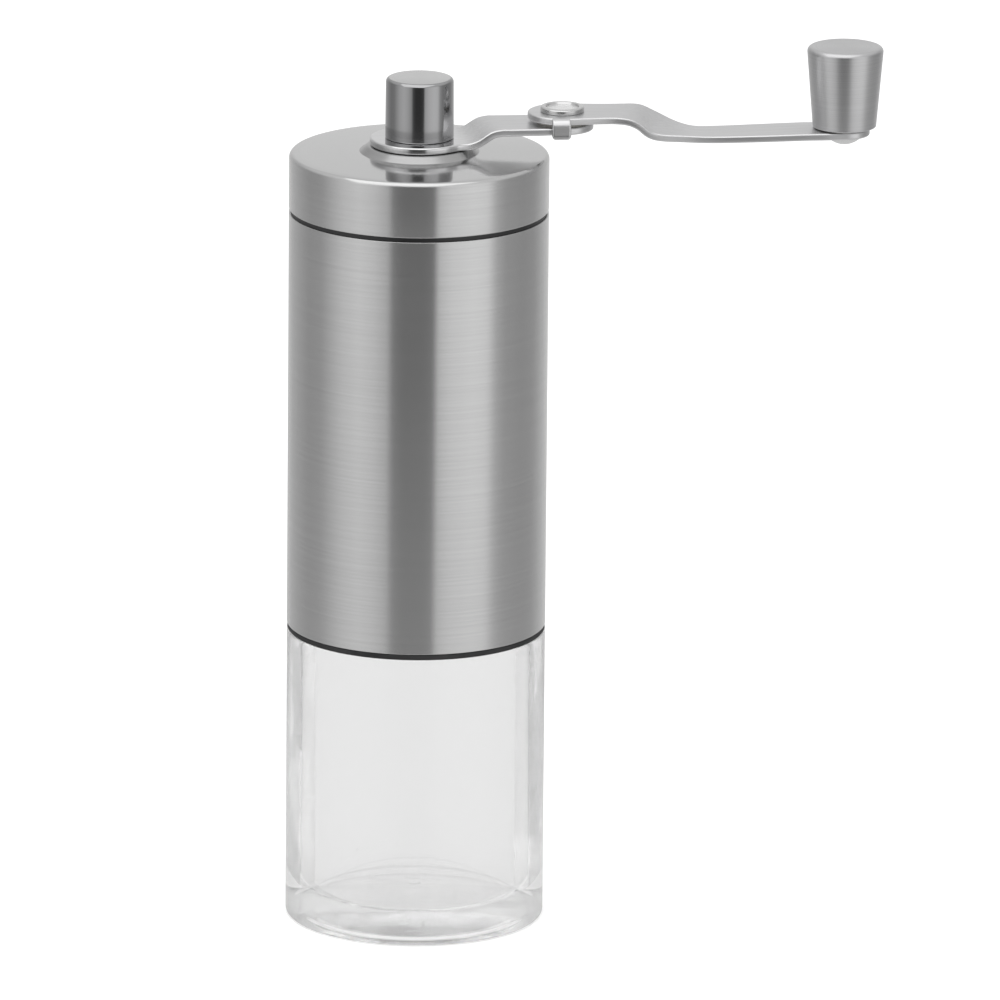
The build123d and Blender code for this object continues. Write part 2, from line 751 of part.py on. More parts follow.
# Plastic liner pressed into the lid: its rim shows as a dark line and its plug enters the tube.
with BuildPart() as lid_liner:
    liner_radius = body_radius - lid_wall - slip
    liner_top = lid_top - lid_wall - face
    liner_bore = lid_hole_radius + lid_hole_gap
    plug_radius = tube_inner - plug_gap
    plug_inner = plug_radius - plug_wall
    plug_bottom = tube_top - plug_depth
    groove_bottom = plug_bottom + groove_lift
    groove_radius = tube_inner - running - 2 * seal_wire - press
    with BuildSketch(Plane.XZ) as liner_section:
        Polygon(
            (plug_inner, plug_bottom),
            (plug_radius, plug_bottom),
            (plug_radius, tube_top + face),
            (body_radius - rim_inset, tube_top + face),
            (body_radius - rim_inset, lid_bottom - press),
            (liner_radius, lid_bottom - press),
            (liner_radius, liner_top),
            (liner_bore, liner_top),
            (liner_bore, liner_top - liner_sleeve_height),
            (liner_bore + liner_wall, liner_top - liner_sleeve_height),
            (liner_bore + liner_wall, liner_top - liner_wall),
            (plug_inner, liner_top - liner_wall),
            align=None,
        )
        band(groove_radius, body_radius, groove_bottom, groove_bottom + groove_height, mode=Mode.SUBTRACT)
        chamfer(corner(liner_section, liner_radius, liner_top), liner_chamfer)
        chamfer(corner(liner_section, plug_radius, plug_bottom), plug_chamfer)
    revolve(axis=Axis.Z)
lid_liner.part.label = "lid_liner"
export_step(lid_liner.part, "parts/lid_liner.step")

# Rubber ring in the plug's groove.
with BuildPart() as lid_seal:
    with BuildSketch(Plane.XZ):
        with Locations((tube_inner - running - seal_wire, groove_bottom + groove_height / 2)):
            RegularPolygon(seal_wire, 8, rotation=22.5, major_radius=False)
    revolve(axis=Axis.Z)
lid_seal.part.label = "lid_seal"
export_step(lid_seal.part, "parts/lid_seal.step")

# ------------------------------------------------------------------ crank
# Turned cap with a hexagonal socket; its spigot is riveted into the inner arm.
with BuildPart() as socket_cap:
    cap_bottom = hub_top + press
    cap_top = cap_bottom + cap_height
    with BuildSketch(Plane.XZ) as cap_section:
        Polygon(
            (0, hub_bottom),
            (spigot_radius, hub_bottom),
            (spigot_radius, cap_bottom),
            (cap_radius, cap_bottom),
            (cap_top_radius, cap_top),
            (0, cap_top),
            align=None,
        )
        fillet(corner(cap_section, cap_top_radius, cap_top), cap_fillet)
        chamfer(corner(cap_section, cap_radius, cap_bottom), cap_chamfer)
        groove_low = cap_bottom + cap_groove_lift
        groove_floor = cap_radius - cap_groove_depth
        band(groove_floor, 2 * cap_radius, groove_low, groove_low + cap_groove_height, mode=Mode.SUBTRACT)
    revolve(axis=Axis.Z)
    with BuildSketch(Plane.XY.offset(hub_bottom)):
        RegularPolygon(hex_flat + slip, 6, major_radius=False)
    extrude(amount=hex_length + socket_room, mode=Mode.SUBTRACT)
socket_cap.part.label = "socket_cap"
export_step(socket_cap.part, "parts/socket_cap.step")

# Inner arm: a stamped strip that climbs from the hub plate to the folding rivet.
with BuildPart() as inner_arm:
    with BuildSketch(Plane.XZ):
        with BuildLine():
            inner_profile = FilletPolyline(
                (-hub_radius - 1, hub_top),
                (hub_radius, hub_top),
                (hub_radius + inner_bend_run, inner_arm_top),
                (rivet_x + inner_end_radius + 1, inner_arm_top),
                radius=inner_bend_radius,
            )
            offset(inner_profile, amount=strip, side=Side.RIGHT, closed=True)
        make_face()
    extrude(amount=hub_radius + 1, both=True)
    with BuildSketch(Plane.XY.offset(hub_bottom - 1)) as inner_plan:
        Circle(hub_radius)
        Polygon(
            (0, -inner_arm_width / 2),
            (rivet_x, -inner_end_radius),
            (rivet_x, inner_end_radius),
            (0, inner_arm_width / 2),
            align=None,
        )
        with Locations((rivet_x, 0)):
            Circle(inner_end_radius)
            Circle(rivet_radius + press, mode=Mode.SUBTRACT)
        Circle(spigot_radius + press, mode=Mode.SUBTRACT)
    extrude(amount=strip + inner_arm_rise + 2, mode=Mode.INTERSECT)
inner_arm.part.label = "inner_arm"
export_step(inner_arm.part, "parts/inner_arm.step")

# Washer that keeps the two arms apart, and the flanged rivet that they fold on.
with BuildPart() as fold_washer:
    with BuildSketch(upright(rivet_x)):
        band(rivet_radius + press, fold_washer_radius, inner_arm_top, inner_arm_top + washer_thickness)
    revolve(axis=Axis((rivet_x, 0, 0), (0, 0, 1)))
fold_washer.part.label = "fold_washer"
export_step(fold_washer.part, "parts/fold_washer.step")

with BuildPart() as fold_rivet:
    rivet_foot = inner_arm_top - strip
    rivet_seat = outer_arm_top + face
    with BuildSketch(upright(rivet_x)):
        with BuildLine():
            Polyline(
                (0, rivet_foot - rivet_foot_height),
                (rivet_foot_radius - rivet_foot_bevel, rivet_foot - rivet_foot_height),
                (rivet_foot_radius, rivet_foot - press),
                (rivet_radius, rivet_foot - press),
                (rivet_radius, rivet_seat),
                (rivet_head_radius, rivet_seat),
                (rivet_head_radius, rivet_seat + rivet_rim_height),
            )
            SagittaArc(
                (rivet_head_radius, rivet_seat + rivet_rim_height),
                (rivet_crown_radius, rivet_seat + rivet_crown_height),
                -rivet_crown_bulge,
            )
            Polyline(
                (rivet_crown_radius, rivet_seat + rivet_crown_height),
                (rivet_dish_radius, rivet_seat + rivet_dish_height),
                (0, rivet_seat + rivet_dish_height),
                (0, rivet_foot - rivet_foot_height),
            )
        make_face()
    revolve(axis=Axis((rivet_x, 0, 0), (0, 0, 1)))
fold_rivet.part.label = "fold_rivet"
export_step(fold_rivet.part, "parts/fold_rivet.step")

# Outer arm: a stamped strip that steps down after the rivet. The step is skewed, longer
# along its far edge, so each edge has its own profile. A tab bent down over the inner
# arm's edge takes the push of grinding and leaves the arm free to fold the other way.
with BuildPart() as outer_arm:
    edge_reach = outer_end_radius + 1
    arm_start = rivet_x - edge_reach
    arm_end = crank_radius + outer_tip_radius + 1
    lift_end = crank_radius - outer_tip_radius - 3
    with BuildSketch(Plane.XZ.offset(edge_reach)):
        with BuildLine():
            near_profile = FilletPolyline(
                (arm_start, outer_arm_top),
                (rivet_x + near_bend, outer_arm_top),
                (rivet_x + near_bend + near_bend_run, outer_low_top),
                (lift_end, tip_top),
                (arm_end, tip_top),
                radius=[near_bend_radius, near_bend_radius, tip_bend_radius],
            )
            offset(near_profile, amount=strip, side=Side.RIGHT, closed=True)
        make_face()
    with BuildSketch(Plane.XZ.offset(-edge_reach)):
        with BuildLine():
            far_profile = FilletPolyline(
                (arm_start, outer_arm_top),
                (rivet_x + far_bend, outer_arm_top),
                (rivet_x + far_bend + far_bend_run, outer_low_top),
                (lift_end, tip_top),
                (arm_end, tip_top),
                radius=[far_bend_radius, far_bend_radius, tip_bend_radius],
            )
            offset(far_profile, amount=strip, side=Side.RIGHT, closed=True)
        make_face()
    loft(ruled=True)
    with BuildSketch(Plane.XY.offset(outer_low_top - strip - 1)) as outer_plan:
        with Locations((rivet_x, 0)):
            Circle(outer_end_radius)
        Polygon(
            (rivet_x, -outer_end_radius),
            (rivet_x + shoulder_x, -outer_arm_width / 2),
            (rivet_x + waist_start, -outer_arm_width / 2),
            (rivet_x + waist_end, -outer_tip_width / 2),
            (crank_radius - tip_neck, -outer_tip_width / 2),
            (crank_radius, -outer_tip_radius),
            (crank_radius, outer_tip_radius),
            (crank_radius - tip_neck, outer_tip_width / 2),
            (rivet_x + waist_end, outer_tip_width / 2),
            (rivet_x + waist_start, outer_arm_width / 2),
            (rivet_x + shoulder_x, outer_arm_width / 2),
            (rivet_x, outer_end_radius),
            align=None,
        )
        with Locations((crank_radius, 0)):
            Circle(outer_tip_radius)
            Circle(pin_radius + press, mode=Mode.SUBTRACT)
        with Locations((rivet_x, 0)):
            Circle(rivet_radius + running, mode=Mode.SUBTRACT)
    extrude(amount=outer_arm_drop + strip + 2, mode=Mode.INTERSECT)
    tab_inner = inner_end_radius + tab_gap
    with BuildSketch(Plane.XZ.offset(tab_inner)) as tab_face:
        with Locations((rivet_x, outer_arm_top - tab_height / 2)):
            Rectangle(tab_width, tab_height)
        fillet(tab_face.vertices().group_by(Axis.Y)[0], tab_corner)
    extrude(amount=strip)
    tab_edges = outer_arm.edges().filter_by(Axis.X).group_by(Axis.Y)[0]
    fillet(tab_edges.sort_by(Axis.Z)[-1], tab_bend)
outer_arm.part.label = "outer_arm"
export_step(outer_arm.part, "parts/outer_arm.step")

# ------------------------------------------------------------------ knob
# Pin riveted through the arm's tip, with a domed head below and a snap ridge on top.
snap_low = knob_base + knob_height - knob_crown
sleeve_top = snap_low + snap_height + sleeve_room
with BuildPart() as knob_pin:
    tip_bottom = tip_top - strip
    with BuildSketch(upright(crank_radius)) as pin_section:
        with BuildLine():
            Polyline(
                (pin_head_radius, tip_bottom - press),
                (pin_radius, tip_bottom - press),
                (pin_radius, snap_low),
                (pin_radius + snap_ridge, snap_low + snap_rise),
                (pin_radius - snap_ridge, snap_low + snap_height),
                (0, snap_low + snap_height),
                (0, tip_bottom - pin_head_height),
            )
            TangentArc(
                (0, tip_bottom - pin_head_height),
                (pin_head_radius, tip_bottom - press),
                tangent=(1, 0),
            )
        make_face()
    revolve(axis=Axis((crank_radius, 0, 0), (0, 0, 1)))
knob_pin.part.label = "knob_pin"
export_step(knob_pin.part, "parts/knob_pin.step")

with BuildPart() as knob_washer:
    with BuildSketch(upright(crank_radius)):
        band(pin_radius + press, knob_washer_radius, tip_top + press, knob_base - face)
    revolve(axis=Axis((crank_radius, 0, 0), (0, 0, 1)))
knob_washer.part.label = "knob_washer"
export_step(knob_washer.part, "parts/knob_washer.step")

# Nylon sleeve pressed into the knob; it snaps over the pin's ridge and turns on it.
with BuildPart() as knob_sleeve:
    with BuildSketch(upright(crank_radius)):
        band(pin_radius + running, sleeve_radius, knob_base, sleeve_top)
        band(pin_radius, pin_radius + snap_ridge + merge, snap_low - merge, sleeve_top, mode=Mode.SUBTRACT)
    revolve(axis=Axis((crank_radius, 0, 0), (0, 0, 1)))
knob_sleeve.part.label = "knob_sleeve"
export_step(knob_sleeve.part, "parts/knob_sleeve.step")

# Turned knob, wider at the top, with a blind bore for the sleeve.
with BuildPart() as knob:
    knob_top = knob_base + knob_height
    with BuildSketch(upright(crank_radius)) as knob_section:
        Polygon(
            (sleeve_radius + press, knob_base),
            (knob_base_radius, knob_base),
            (knob_radius, knob_top),
            (0, knob_top),
            (0, sleeve_top + slip),
            (sleeve_radius + press, sleeve_top + slip),
            align=None,
        )
        fillet(corner(knob_section, knob_radius, knob_top), knob_fillet)
        chamfer(corner(knob_section, knob_base_radius, knob_base), knob_chamfer)
    revolve(axis=Axis((crank_radius, 0, 0), (0, 0, 1)))
knob.part.label = "knob"
export_step(knob.part, "parts/knob.step")
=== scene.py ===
import math

import bmesh
import bpy
from mathutils import Matrix, Vector


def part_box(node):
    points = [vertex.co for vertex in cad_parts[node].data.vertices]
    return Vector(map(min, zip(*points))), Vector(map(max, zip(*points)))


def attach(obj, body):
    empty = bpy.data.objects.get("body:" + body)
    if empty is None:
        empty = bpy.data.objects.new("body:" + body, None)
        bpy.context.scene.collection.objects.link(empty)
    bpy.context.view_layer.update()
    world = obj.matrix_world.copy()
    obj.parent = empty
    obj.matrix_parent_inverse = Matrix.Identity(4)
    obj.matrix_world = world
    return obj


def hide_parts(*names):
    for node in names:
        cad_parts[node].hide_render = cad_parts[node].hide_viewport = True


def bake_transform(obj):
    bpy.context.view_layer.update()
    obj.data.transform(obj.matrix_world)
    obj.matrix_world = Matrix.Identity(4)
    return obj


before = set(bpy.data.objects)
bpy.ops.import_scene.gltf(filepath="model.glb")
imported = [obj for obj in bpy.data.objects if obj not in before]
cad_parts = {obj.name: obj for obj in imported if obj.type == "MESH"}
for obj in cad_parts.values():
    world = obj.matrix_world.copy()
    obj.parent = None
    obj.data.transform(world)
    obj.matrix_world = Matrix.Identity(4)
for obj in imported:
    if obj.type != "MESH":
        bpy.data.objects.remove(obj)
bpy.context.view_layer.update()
scene = bpy.context.scene
mm = 0.001

# ---------------- camera and studio
# The grinder stands on a pale floor in a white light tent. Metal sees the tent's upright
# screens, which are dark in front, bright to either side and grey further round.
camera_turn = math.radians(6.0)
camera_drop = math.radians(15.033)
camera_roll = math.radians(0.498)
camera_aim = Vector((17.236, -1.812, 89.201)) * mm
camera_distance = 3063.15 * mm

camera = bpy.data.objects.new("camera", bpy.data.cameras.new("camera"))
camera.data.sensor_width = 36.0
camera.data.lens = 529.0
turn_round = Matrix.Rotation(-camera_turn, 4, "Z")
tip_down = Matrix.Rotation(math.pi / 2 - camera_drop, 4, "X")
camera.matrix_world = turn_round @ tip_down @ Matrix.Rotation(camera_roll, 4, "Z")
camera.location = camera_aim + camera.matrix_world.to_3x3() @ Vector((0, 0, camera_distance))
scene.collection.objects.link(camera)
scene.camera = camera
scene.view_settings.view_transform = "Standard"


def add(tree, kind, inputs=None, **properties):
    """Adds a node. Each input takes a number, a colour or another node's output."""
    node = tree.nodes.new(kind)
    for name, value in properties.items():
        setattr(node, name, value)
    for name, value in (inputs or {}).items():
        if isinstance(value, bpy.types.NodeSocket):
            tree.links.new(value, node.inputs[name])
        else:
            node.inputs[name].default_value = value
    return node


def maths(tree, operation, *values):
    """The result of a math node on numbers or other nodes' outputs, or of a chain of them on several."""
    *early, last = values
    if len(early) > 1:
        early = [maths(tree, operation, *early)]
    return add(tree, "ShaderNodeMath", dict(enumerate((*early, last))), operation=operation).outputs[0]


def split(tree, place):
    """The X, Y and Z of a place."""
    return add(tree, "ShaderNodeSeparateXYZ", {0: place}).outputs


def joined(tree, **axes):
    """A place from its X, Y and Z."""
    return add(tree, "ShaderNodeCombineXYZ", axes).outputs[0]


def between(tree, value, low, high, source_low=0.3, source_high=0.7):
    """A value brought from the usual range of a noise, or another, to the range from low to high."""
    inputs = {"Value": value, "From Min": source_low, "From Max": source_high, "To Min": low, "To Max": high}
    return add(tree, "ShaderNodeMapRange", inputs).outputs[0]


def blended(tree, share, *ends):
    """A colour between two, by a share from 0 to 1. Each of the two is a colour or a node's output."""
    first, second = [end if isinstance(end, bpy.types.NodeSocket) else (*end, 1) for end in ends]
    return add(tree, "ShaderNodeMix", {"Factor": share, 6: first, 7: second}, data_type="RGBA").outputs[2]


def ramp(tree, value, stops, smooth=True):
    """A grey ramp from (position, level) stops, driven by a value from 0 to 1."""
    node = add(tree, "ShaderNodeValToRGB", {"Fac": value})
    node.color_ramp.interpolation = "EASE" if smooth else "LINEAR"
    elements = node.color_ramp.elements
    elements.remove(elements[1])
    elements[0].position = stops[0][0]
    for index, (position, level) in enumerate(stops):
        stop = elements.new(position) if index else elements[0]
        stop.color = (level, level, level, 1)
    return node.outputs["Color"]


# Screens of the tent: each stop's bearing, in degrees to the right of the camera, and its level.
side_screens = [
    (-180, 0.77), (-150, 0.54), (-132, 0.44), (-112, 0.33), (-95, 0.36), (-70, 0.70), (-54, 0.80), (-40, 0.70),
    (-27, 0.50), (-22, 0.13), (-13, 0.06), (5, 0.06), (14, 0.10), (18, 0.64), (30, 0.84), (50, 0.95),
    (64, 0.90), (74, 0.50), (84, 0.36), (105, 0.32), (124, 0.36), (140, 0.52), (160, 0.66), (180, 0.77),
]
# The share of the tent that opens below and above the screens, and its level there, by height.
tent_openings = [(0.0, 1.0), (0.12, 0.9), (0.26, 0.5), (0.34, 0.0), (0.65, 0.0), (0.78, 1.0)]
tent_levels = [(0.0, 0.62), (0.40, 0.62), (0.66, 0.62), (1.0, 0.80)]
tent_diffuse = 0.72

world = bpy.data.worlds.new("light_tent")
scene.world = world
world.use_nodes = True
tent = world.node_tree
tent.nodes.clear()
sight = add(tent, "ShaderNodeTexCoord").outputs["Generated"]
faced = add(tent, "ShaderNodeMapping", {"Vector": sight, "Rotation": (0, 0, camera_turn)})
axes = split(tent, faced.outputs["Vector"])
bearing = maths(tent, "ARCTAN2", axes["X"], maths(tent, "MULTIPLY", axes["Y"], -1.0))
round_share = between(tent, bearing, 0.0, 1.0, -math.pi, math.pi)
screens = ramp(tent, round_share, [((turn + 180) / 360, level) for turn, level in side_screens], smooth=False)
tall_share = between(tent, axes["Z"], 0.0, 1.0, -1.0, 1.0)
in_metal = blended(tent, ramp(tent, tall_share, tent_openings), screens, ramp(tent, tall_share, tent_levels))
ray = add(tent, "ShaderNodeLightPath").outputs
seen = maths(tent, "MAXIMUM", ray["Is Camera Ray"], ray["Is Transmission Ray"])
plain = blended(tent, seen, [tent_diffuse] * 3, (1, 1, 1))
backdrop = add(tent, "ShaderNodeBackground", {"Color": blended(tent, ray["Is Glossy Ray"], plain, in_metal)})
add(tent, "ShaderNodeOutputWorld", {"Surface": backdrop.outputs[0]})

lamp_place = Vector((-0.25, -0.45, 1.2))
lamp_aim = Vector((0, 0, 0.1))
lamp = bpy.data.objects.new("overhead_lamp", bpy.data.lights.new("overhead_lamp", "AREA"))
lamp.data.size = 1.75
lamp.data.energy = 6.5
lamp.location = lamp_place
lamp.rotation_euler = (lamp_aim - lamp_place).to_track_quat("-Z", "Y").to_euler()
lamp.visible_transmission = False
scene.collection.objects.link(lamp)

floor_half = 4.0
floor_level = -0.1 * mm
floor_mesh = bpy.data.meshes.new("floor")
floor_sides = ((-1, -1), (1, -1), (1, 1), (-1, 1))
floor_corners = [(x * floor_half, y * floor_half, floor_level) for x, y in floor_sides]
floor_mesh.from_pydata(floor_corners, [], [(0, 1, 2, 3)])
floor = bpy.data.objects.new("floor", floor_mesh)
floor.visible_glossy = False
scene.collection.objects.link(floor)


def white_paper():
    """Pale paper that the camera sees lifted to white and clear pieces show as plain white."""
    made = bpy.data.materials.new("white_paper")
    made.use_nodes = True
    tree = made.node_tree
    tree.nodes.clear()
    ray = add(tree, "ShaderNodeLightPath").outputs
    lift = add(tree, "ShaderNodeEmission", {"Strength": maths(tree, "MULTIPLY", ray["Is Camera Ray"], 0.45)})
    face = add(tree, "ShaderNodeBsdfDiffuse", {"Color": (0.9, 0.9, 0.9, 1)})
    both = add(tree, "ShaderNodeAddShader", {0: face.outputs[0], 1: lift.outputs[0]})
    plain = add(tree, "ShaderNodeEmission", {"Strength": 1.0})
    shown = add(tree, "ShaderNodeMixShader", {
        0: ray["Is Transmission Ray"], 1: both.outputs[0], 2: plain.outputs[0],
    })
    add(tree, "ShaderNodeOutputMaterial", {"Surface": shown.outputs[0]})
    return made


floor_mesh.materials.append(white_paper())

# ---------------- catch jar
# Thick clear moulding, heavy in the floor, with a plain neck that pushes up inside the
# tube. Moulded in one: the gate mark in its floor and a few rub marks are all that show.
jar_low, jar_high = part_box("jar")
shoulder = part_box("jar_seal")[0].z
jar_radius = jar_high.x
jar_wall = 3.0 * mm
jar_floor = 6.0 * mm
jar_floor_fillet = 3.5 * mm
neck_radius = jar_radius - 1.9 * mm
foot_inner = jar_radius - 5.5 * mm
foot_depth = 0.6 * mm
gate_radius = 1.3 * mm
gate_height = 0.15 * mm
scuff_reach = 9.0 * mm


def rounded(corners, steps=6):
    """Outline points from (radius, height, rounding) corners, each rounding a short arc."""
    points = []
    for index, (across, up, rounding) in enumerate(corners):
        here = Vector((across, up))
        if not rounding:
            points.append(here)
            continue
        before = Vector(corners[index - 1][:2])
        after = Vector(corners[(index + 1) % len(corners)][:2])
        to_before = (before - here).normalized()
        to_after = (after - here).normalized()
        half = to_before.angle(to_after) / 2
        centre = here + (to_before + to_after).normalized() * rounding / math.sin(half)
        start = here + to_before * rounding / math.tan(half) - centre
        sweep = start.angle_signed(here + to_after * rounding / math.tan(half) - centre)
        for step in range(steps + 1):
            arm = start.copy()
            arm.rotate(Matrix.Rotation(-sweep * step / steps, 2))
            points.append(centre + arm)
    return points


def finish_mesh(mesh, crease=30):
    """Points every face outwards and shades the mesh smooth, with creases above an angle."""
    shape = bmesh.new()
    shape.from_mesh(mesh)
    bmesh.ops.recalc_face_normals(shape, faces=shape.faces)
    shape.to_mesh(mesh)
    shape.free()
    mesh.shade_smooth()
    mesh.set_sharp_from_angle(angle=math.radians(crease))


def placed(name, mesh):
    """A new object in the scene that shows a mesh."""
    piece = bpy.data.objects.new(name, mesh)
    scene.collection.objects.link(piece)
    return piece


def turned(name, outline, steps=128, axis_x=0.0):
    """A solid turned on a lathe from a closed outline of (radius, height) points."""
    points = []
    rings = []
    for across, up in outline:
        first = len(points)
        if across < 1e-6:
            points.append((axis_x, 0, up))
            rings.append([first] * steps)
            continue
        for step in range(steps):
            angle = math.tau * step / steps
            points.append((axis_x + across * math.cos(angle), across * math.sin(angle), up))
        rings.append(list(range(first, first + steps)))
    faces = []
    for lower, upper in zip(rings, rings[1:] + rings[:1]):
        for step in range(steps):
            beside = (step + 1) % steps
            corners = dict.fromkeys((lower[step], lower[beside], upper[beside], upper[step]))
            if len(corners) > 2:
                faces.append(tuple(corners))
    mesh = bpy.data.meshes.new(name)
    mesh.from_pydata(points, [], faces)
    finish_mesh(mesh)
    return placed(name, mesh)


def material(name):
    """An empty material, its tree, and the tree's Object coordinates."""
    made = bpy.data.materials.new(name)
    made.use_nodes = True
    made.node_tree.nodes.clear()
    place = add(made.node_tree, "ShaderNodeTexCoord")
    return made, made.node_tree, place.outputs["Object"]


def noise(tree, place, scale, detail=2.0):
    """Noise in grains per metre, one number or one for each axis."""
    spread = add(tree, "ShaderNodeMapping", {
        "Vector": place, "Scale": scale if isinstance(scale, tuple) else (scale,) * 3,
    })
    inputs = {"Vector": spread.outputs["Vector"], "Scale": 1.0, "Detail": detail}
    return add(tree, "ShaderNodeTexNoise", inputs).outputs["Fac"]


def bumps(tree, height, distance):
    """A normal from a height, as deep as a distance."""
    inputs = {"Height": height, "Distance": distance, "Strength": 0.5}
    return add(tree, "ShaderNodeBump", inputs).outputs["Normal"]


def surfaced(tree, inputs):
    """Ends a material's tree with the surface that these inputs describe."""
    surface = add(tree, "ShaderNodeBsdfPrincipled", inputs)
    add(tree, "ShaderNodeOutputMaterial", {"Surface": surface.outputs[0]})


def fit_piece(piece, finish, body, slot, *stands_for):
    """Gives a finished piece its material and its moving body, and hides the CAD nodes that it stands for."""
    piece.data.materials.clear()
    piece.data.materials.append(finish)
    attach(piece, body)
    if stands_for:
        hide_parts(*stands_for)


def clear_acrylic():
    """Clear moulded acrylic, faintly grey, with softer gloss in patches and a few scuffs on its floor."""
    made, tree, place = material("clear_acrylic")
    rubbed = noise(tree, place, (60, 60, 45), 3.0)
    low_down = between(tree, split(tree, place)["Z"], 1.0, 0.0, jar_floor, jar_floor + scuff_reach)
    hairs = between(tree, noise(tree, place, (900, 900, 120), 3.0), 0.0, 1.0, 0.66, 0.72)
    patches = between(tree, noise(tree, place, (130, 130, 90), 1.0), 0.0, 1.0, 0.58, 0.66)
    scuffs = maths(tree, "MULTIPLY", hairs, patches, low_down)
    surfaced(tree, {
        "Base Color": blended(tree, scuffs, (0.85, 0.85, 0.85), (0.25, 0.25, 0.25)),
        "Roughness": between(tree, rubbed, 0.0, 0.03, 0.45, 0.75), "IOR": 1.12, "Alpha": 0.7,
        "Transmission Weight": 1.0, "Coat Weight": 0.4, "Coat IOR": 1.45, "Coat Roughness": 0.03,
    })
    return made


jar_outline = rounded([
    (0, foot_depth, 0),
    (foot_inner, foot_depth, 0.3 * mm),
    (foot_inner + foot_depth, jar_low.z, 0.3 * mm),
    (jar_radius, jar_low.z, 0.9 * mm),
    (jar_radius, shoulder, 0.25 * mm),
    (neck_radius, shoulder, 0.3 * mm),
    (neck_radius, jar_high.z, 0.5 * mm),
    (jar_radius - jar_wall, jar_high.z, 0.5 * mm),
    (jar_radius - jar_wall, jar_floor, jar_floor_fillet),
    (gate_radius + 0.3 * mm, jar_floor, 0.2 * mm),
    (gate_radius, jar_floor + gate_height, 0.1 * mm),
    (0, jar_floor + gate_height, 0),
])
jar = turned("catch_jar", jar_outline, steps=256)
fit_piece(jar, clear_acrylic(), "jar", "clear_acrylic", "jar")

# ---------------- jar seal
# Flat black rubber ring on the jar's shoulder: the dark line between the jar and the tube.
# It is cut from sheet, so its edges are only just rounded.
seal_low, seal_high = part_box("jar_seal")
press_gap = 0.02 * mm
seal_inner = neck_radius + press_gap


def mottled(name, mottle, tones, gloss, grain, depth, source=(0.3, 0.7), **others):
    """A finish whose tone and gloss drift together with one noise, over a grain of some depth.
    The mottle and the grain are what noise takes, and the gloss is a roughness or two ends of one."""
    made, tree, place = material(name)
    drift = noise(tree, place, *mottle)
    surfaced(tree, {
        "Base Color": blended(tree, between(tree, drift, 0.0, 1.0, *source), *tones),
        "Roughness": between(tree, drift, *gloss) if isinstance(gloss, tuple) else gloss,
        "Normal": bumps(tree, noise(tree, place, *grain), depth), **others,
    })
    return made


def black_rubber():
    """Matt black rubber with a faint grain and a little grey dust."""
    tones = (0.012, 0.012, 0.013), (0.03, 0.03, 0.031)
    return mottled("black_rubber", (180, 3.0), tones, 0.6, (2500,), 0.02 * mm)


rubber = black_rubber()
seal_outline = rounded([
    (seal_inner, seal_low.z, 0.15 * mm),
    (seal_high.x, seal_low.z, 0.3 * mm),
    (seal_high.x, seal_high.z, 0.3 * mm),
    (seal_inner, seal_high.z, 0.15 * mm),
])
fit_piece(turned("jar_ring", seal_outline, steps=192), rubber, "jar", "black_rubber", "jar_seal")

# ---------------- burr housing
# Moulded in black plastic: a skirt for the jar's neck, ribs, a pocket for the outer burr,
# and the bridge for the lower bush. Its faces have the fine texture of a sparked mould.
moulded_edge = 0.12 * mm


def settle(piece):
    """Turns a piece and its modifiers into one plain mesh."""
    bpy.context.view_layer.update()
    ready = piece.evaluated_get(bpy.context.evaluated_depsgraph_get())
    piece.data = bpy.data.meshes.new_from_object(ready)
    piece.modifiers.clear()


def merged_copy(name, node, edge, crease=35):
    """A CAD node's shape as one clean mesh, with its sharp edges slightly rounded."""
    shape = bmesh.new()
    shape.from_mesh(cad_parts[node].data)
    bmesh.ops.remove_doubles(shape, verts=shape.verts, dist=0.002 * mm)
    bmesh.ops.dissolve_limit(shape, angle_limit=math.radians(0.6), verts=shape.verts, edges=shape.edges)
    mesh = bpy.data.meshes.new(name)
    shape.to_mesh(mesh)
    shape.free()
    if "custom_normal" in mesh.attributes:
        mesh.attributes.remove(mesh.attributes["custom_normal"])
    piece = placed(name, mesh)
    rounding = piece.modifiers.new("edge", "BEVEL")
    rounding.width = edge
    rounding.segments = 3
    rounding.limit_method = "ANGLE"
    rounding.angle_limit = math.radians(crease)
    settle(piece)
    finish_mesh(piece.data, crease)
    return piece


def black_plastic():
    """Black moulded plastic: a spark texture, and faint flow marks in its tone and gloss."""
    tones = (0.014, 0.014, 0.015), (0.024, 0.024, 0.025)
    return mottled("black_plastic", ((70, 70, 25), 3.0), tones, (0.34, 0.5), (3200,), 0.015 * mm)


moulded_black = black_plastic()
housing = merged_copy("grinder_housing", "burr_housing", moulded_edge)
fit_piece(housing, moulded_black, "body", "black_plastic", "burr_housing")

# ---------------- outer burr
# A ring of white ceramic. It is pressed as a plain blank here, and its fine teeth and the
# spiral ridges above them are then cut into the blank by one rule.
outer_low, outer_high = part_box("outer_burr")
burr_radius = 20.0 * mm
burr_mouth = burr_radius - 3.0 * mm
burr_chamfer = 0.5 * mm
fine_height = 5.5 * mm
fine_slope = math.tan(math.radians(20.0))
fine_top = outer_low.z + fine_height
fine_throat = burr_mouth - fine_height * fine_slope
fine_teeth = 36
fine_depth = 0.9 * mm
fine_lean = 25.0
zone_gap = 0.02 * mm
outer_ridges = 9
outer_ridge_depth = 1.6 * mm
outer_ridge_twist = math.radians(18.0)
outer_ridge_narrowing = [0.9 * mm, 1.6 * mm]
blank_steps = 288
key_angles = [math.radians(angle) for angle in (90, 210, 330)]
key_radius = 1.6 * mm
slip = 0.08 * mm
pocket_radius = burr_radius + slip
tooth_land, tooth_valley = 0.25, 0.75
ridge_land = 0.1875
outer_ridge_valley = 0.625


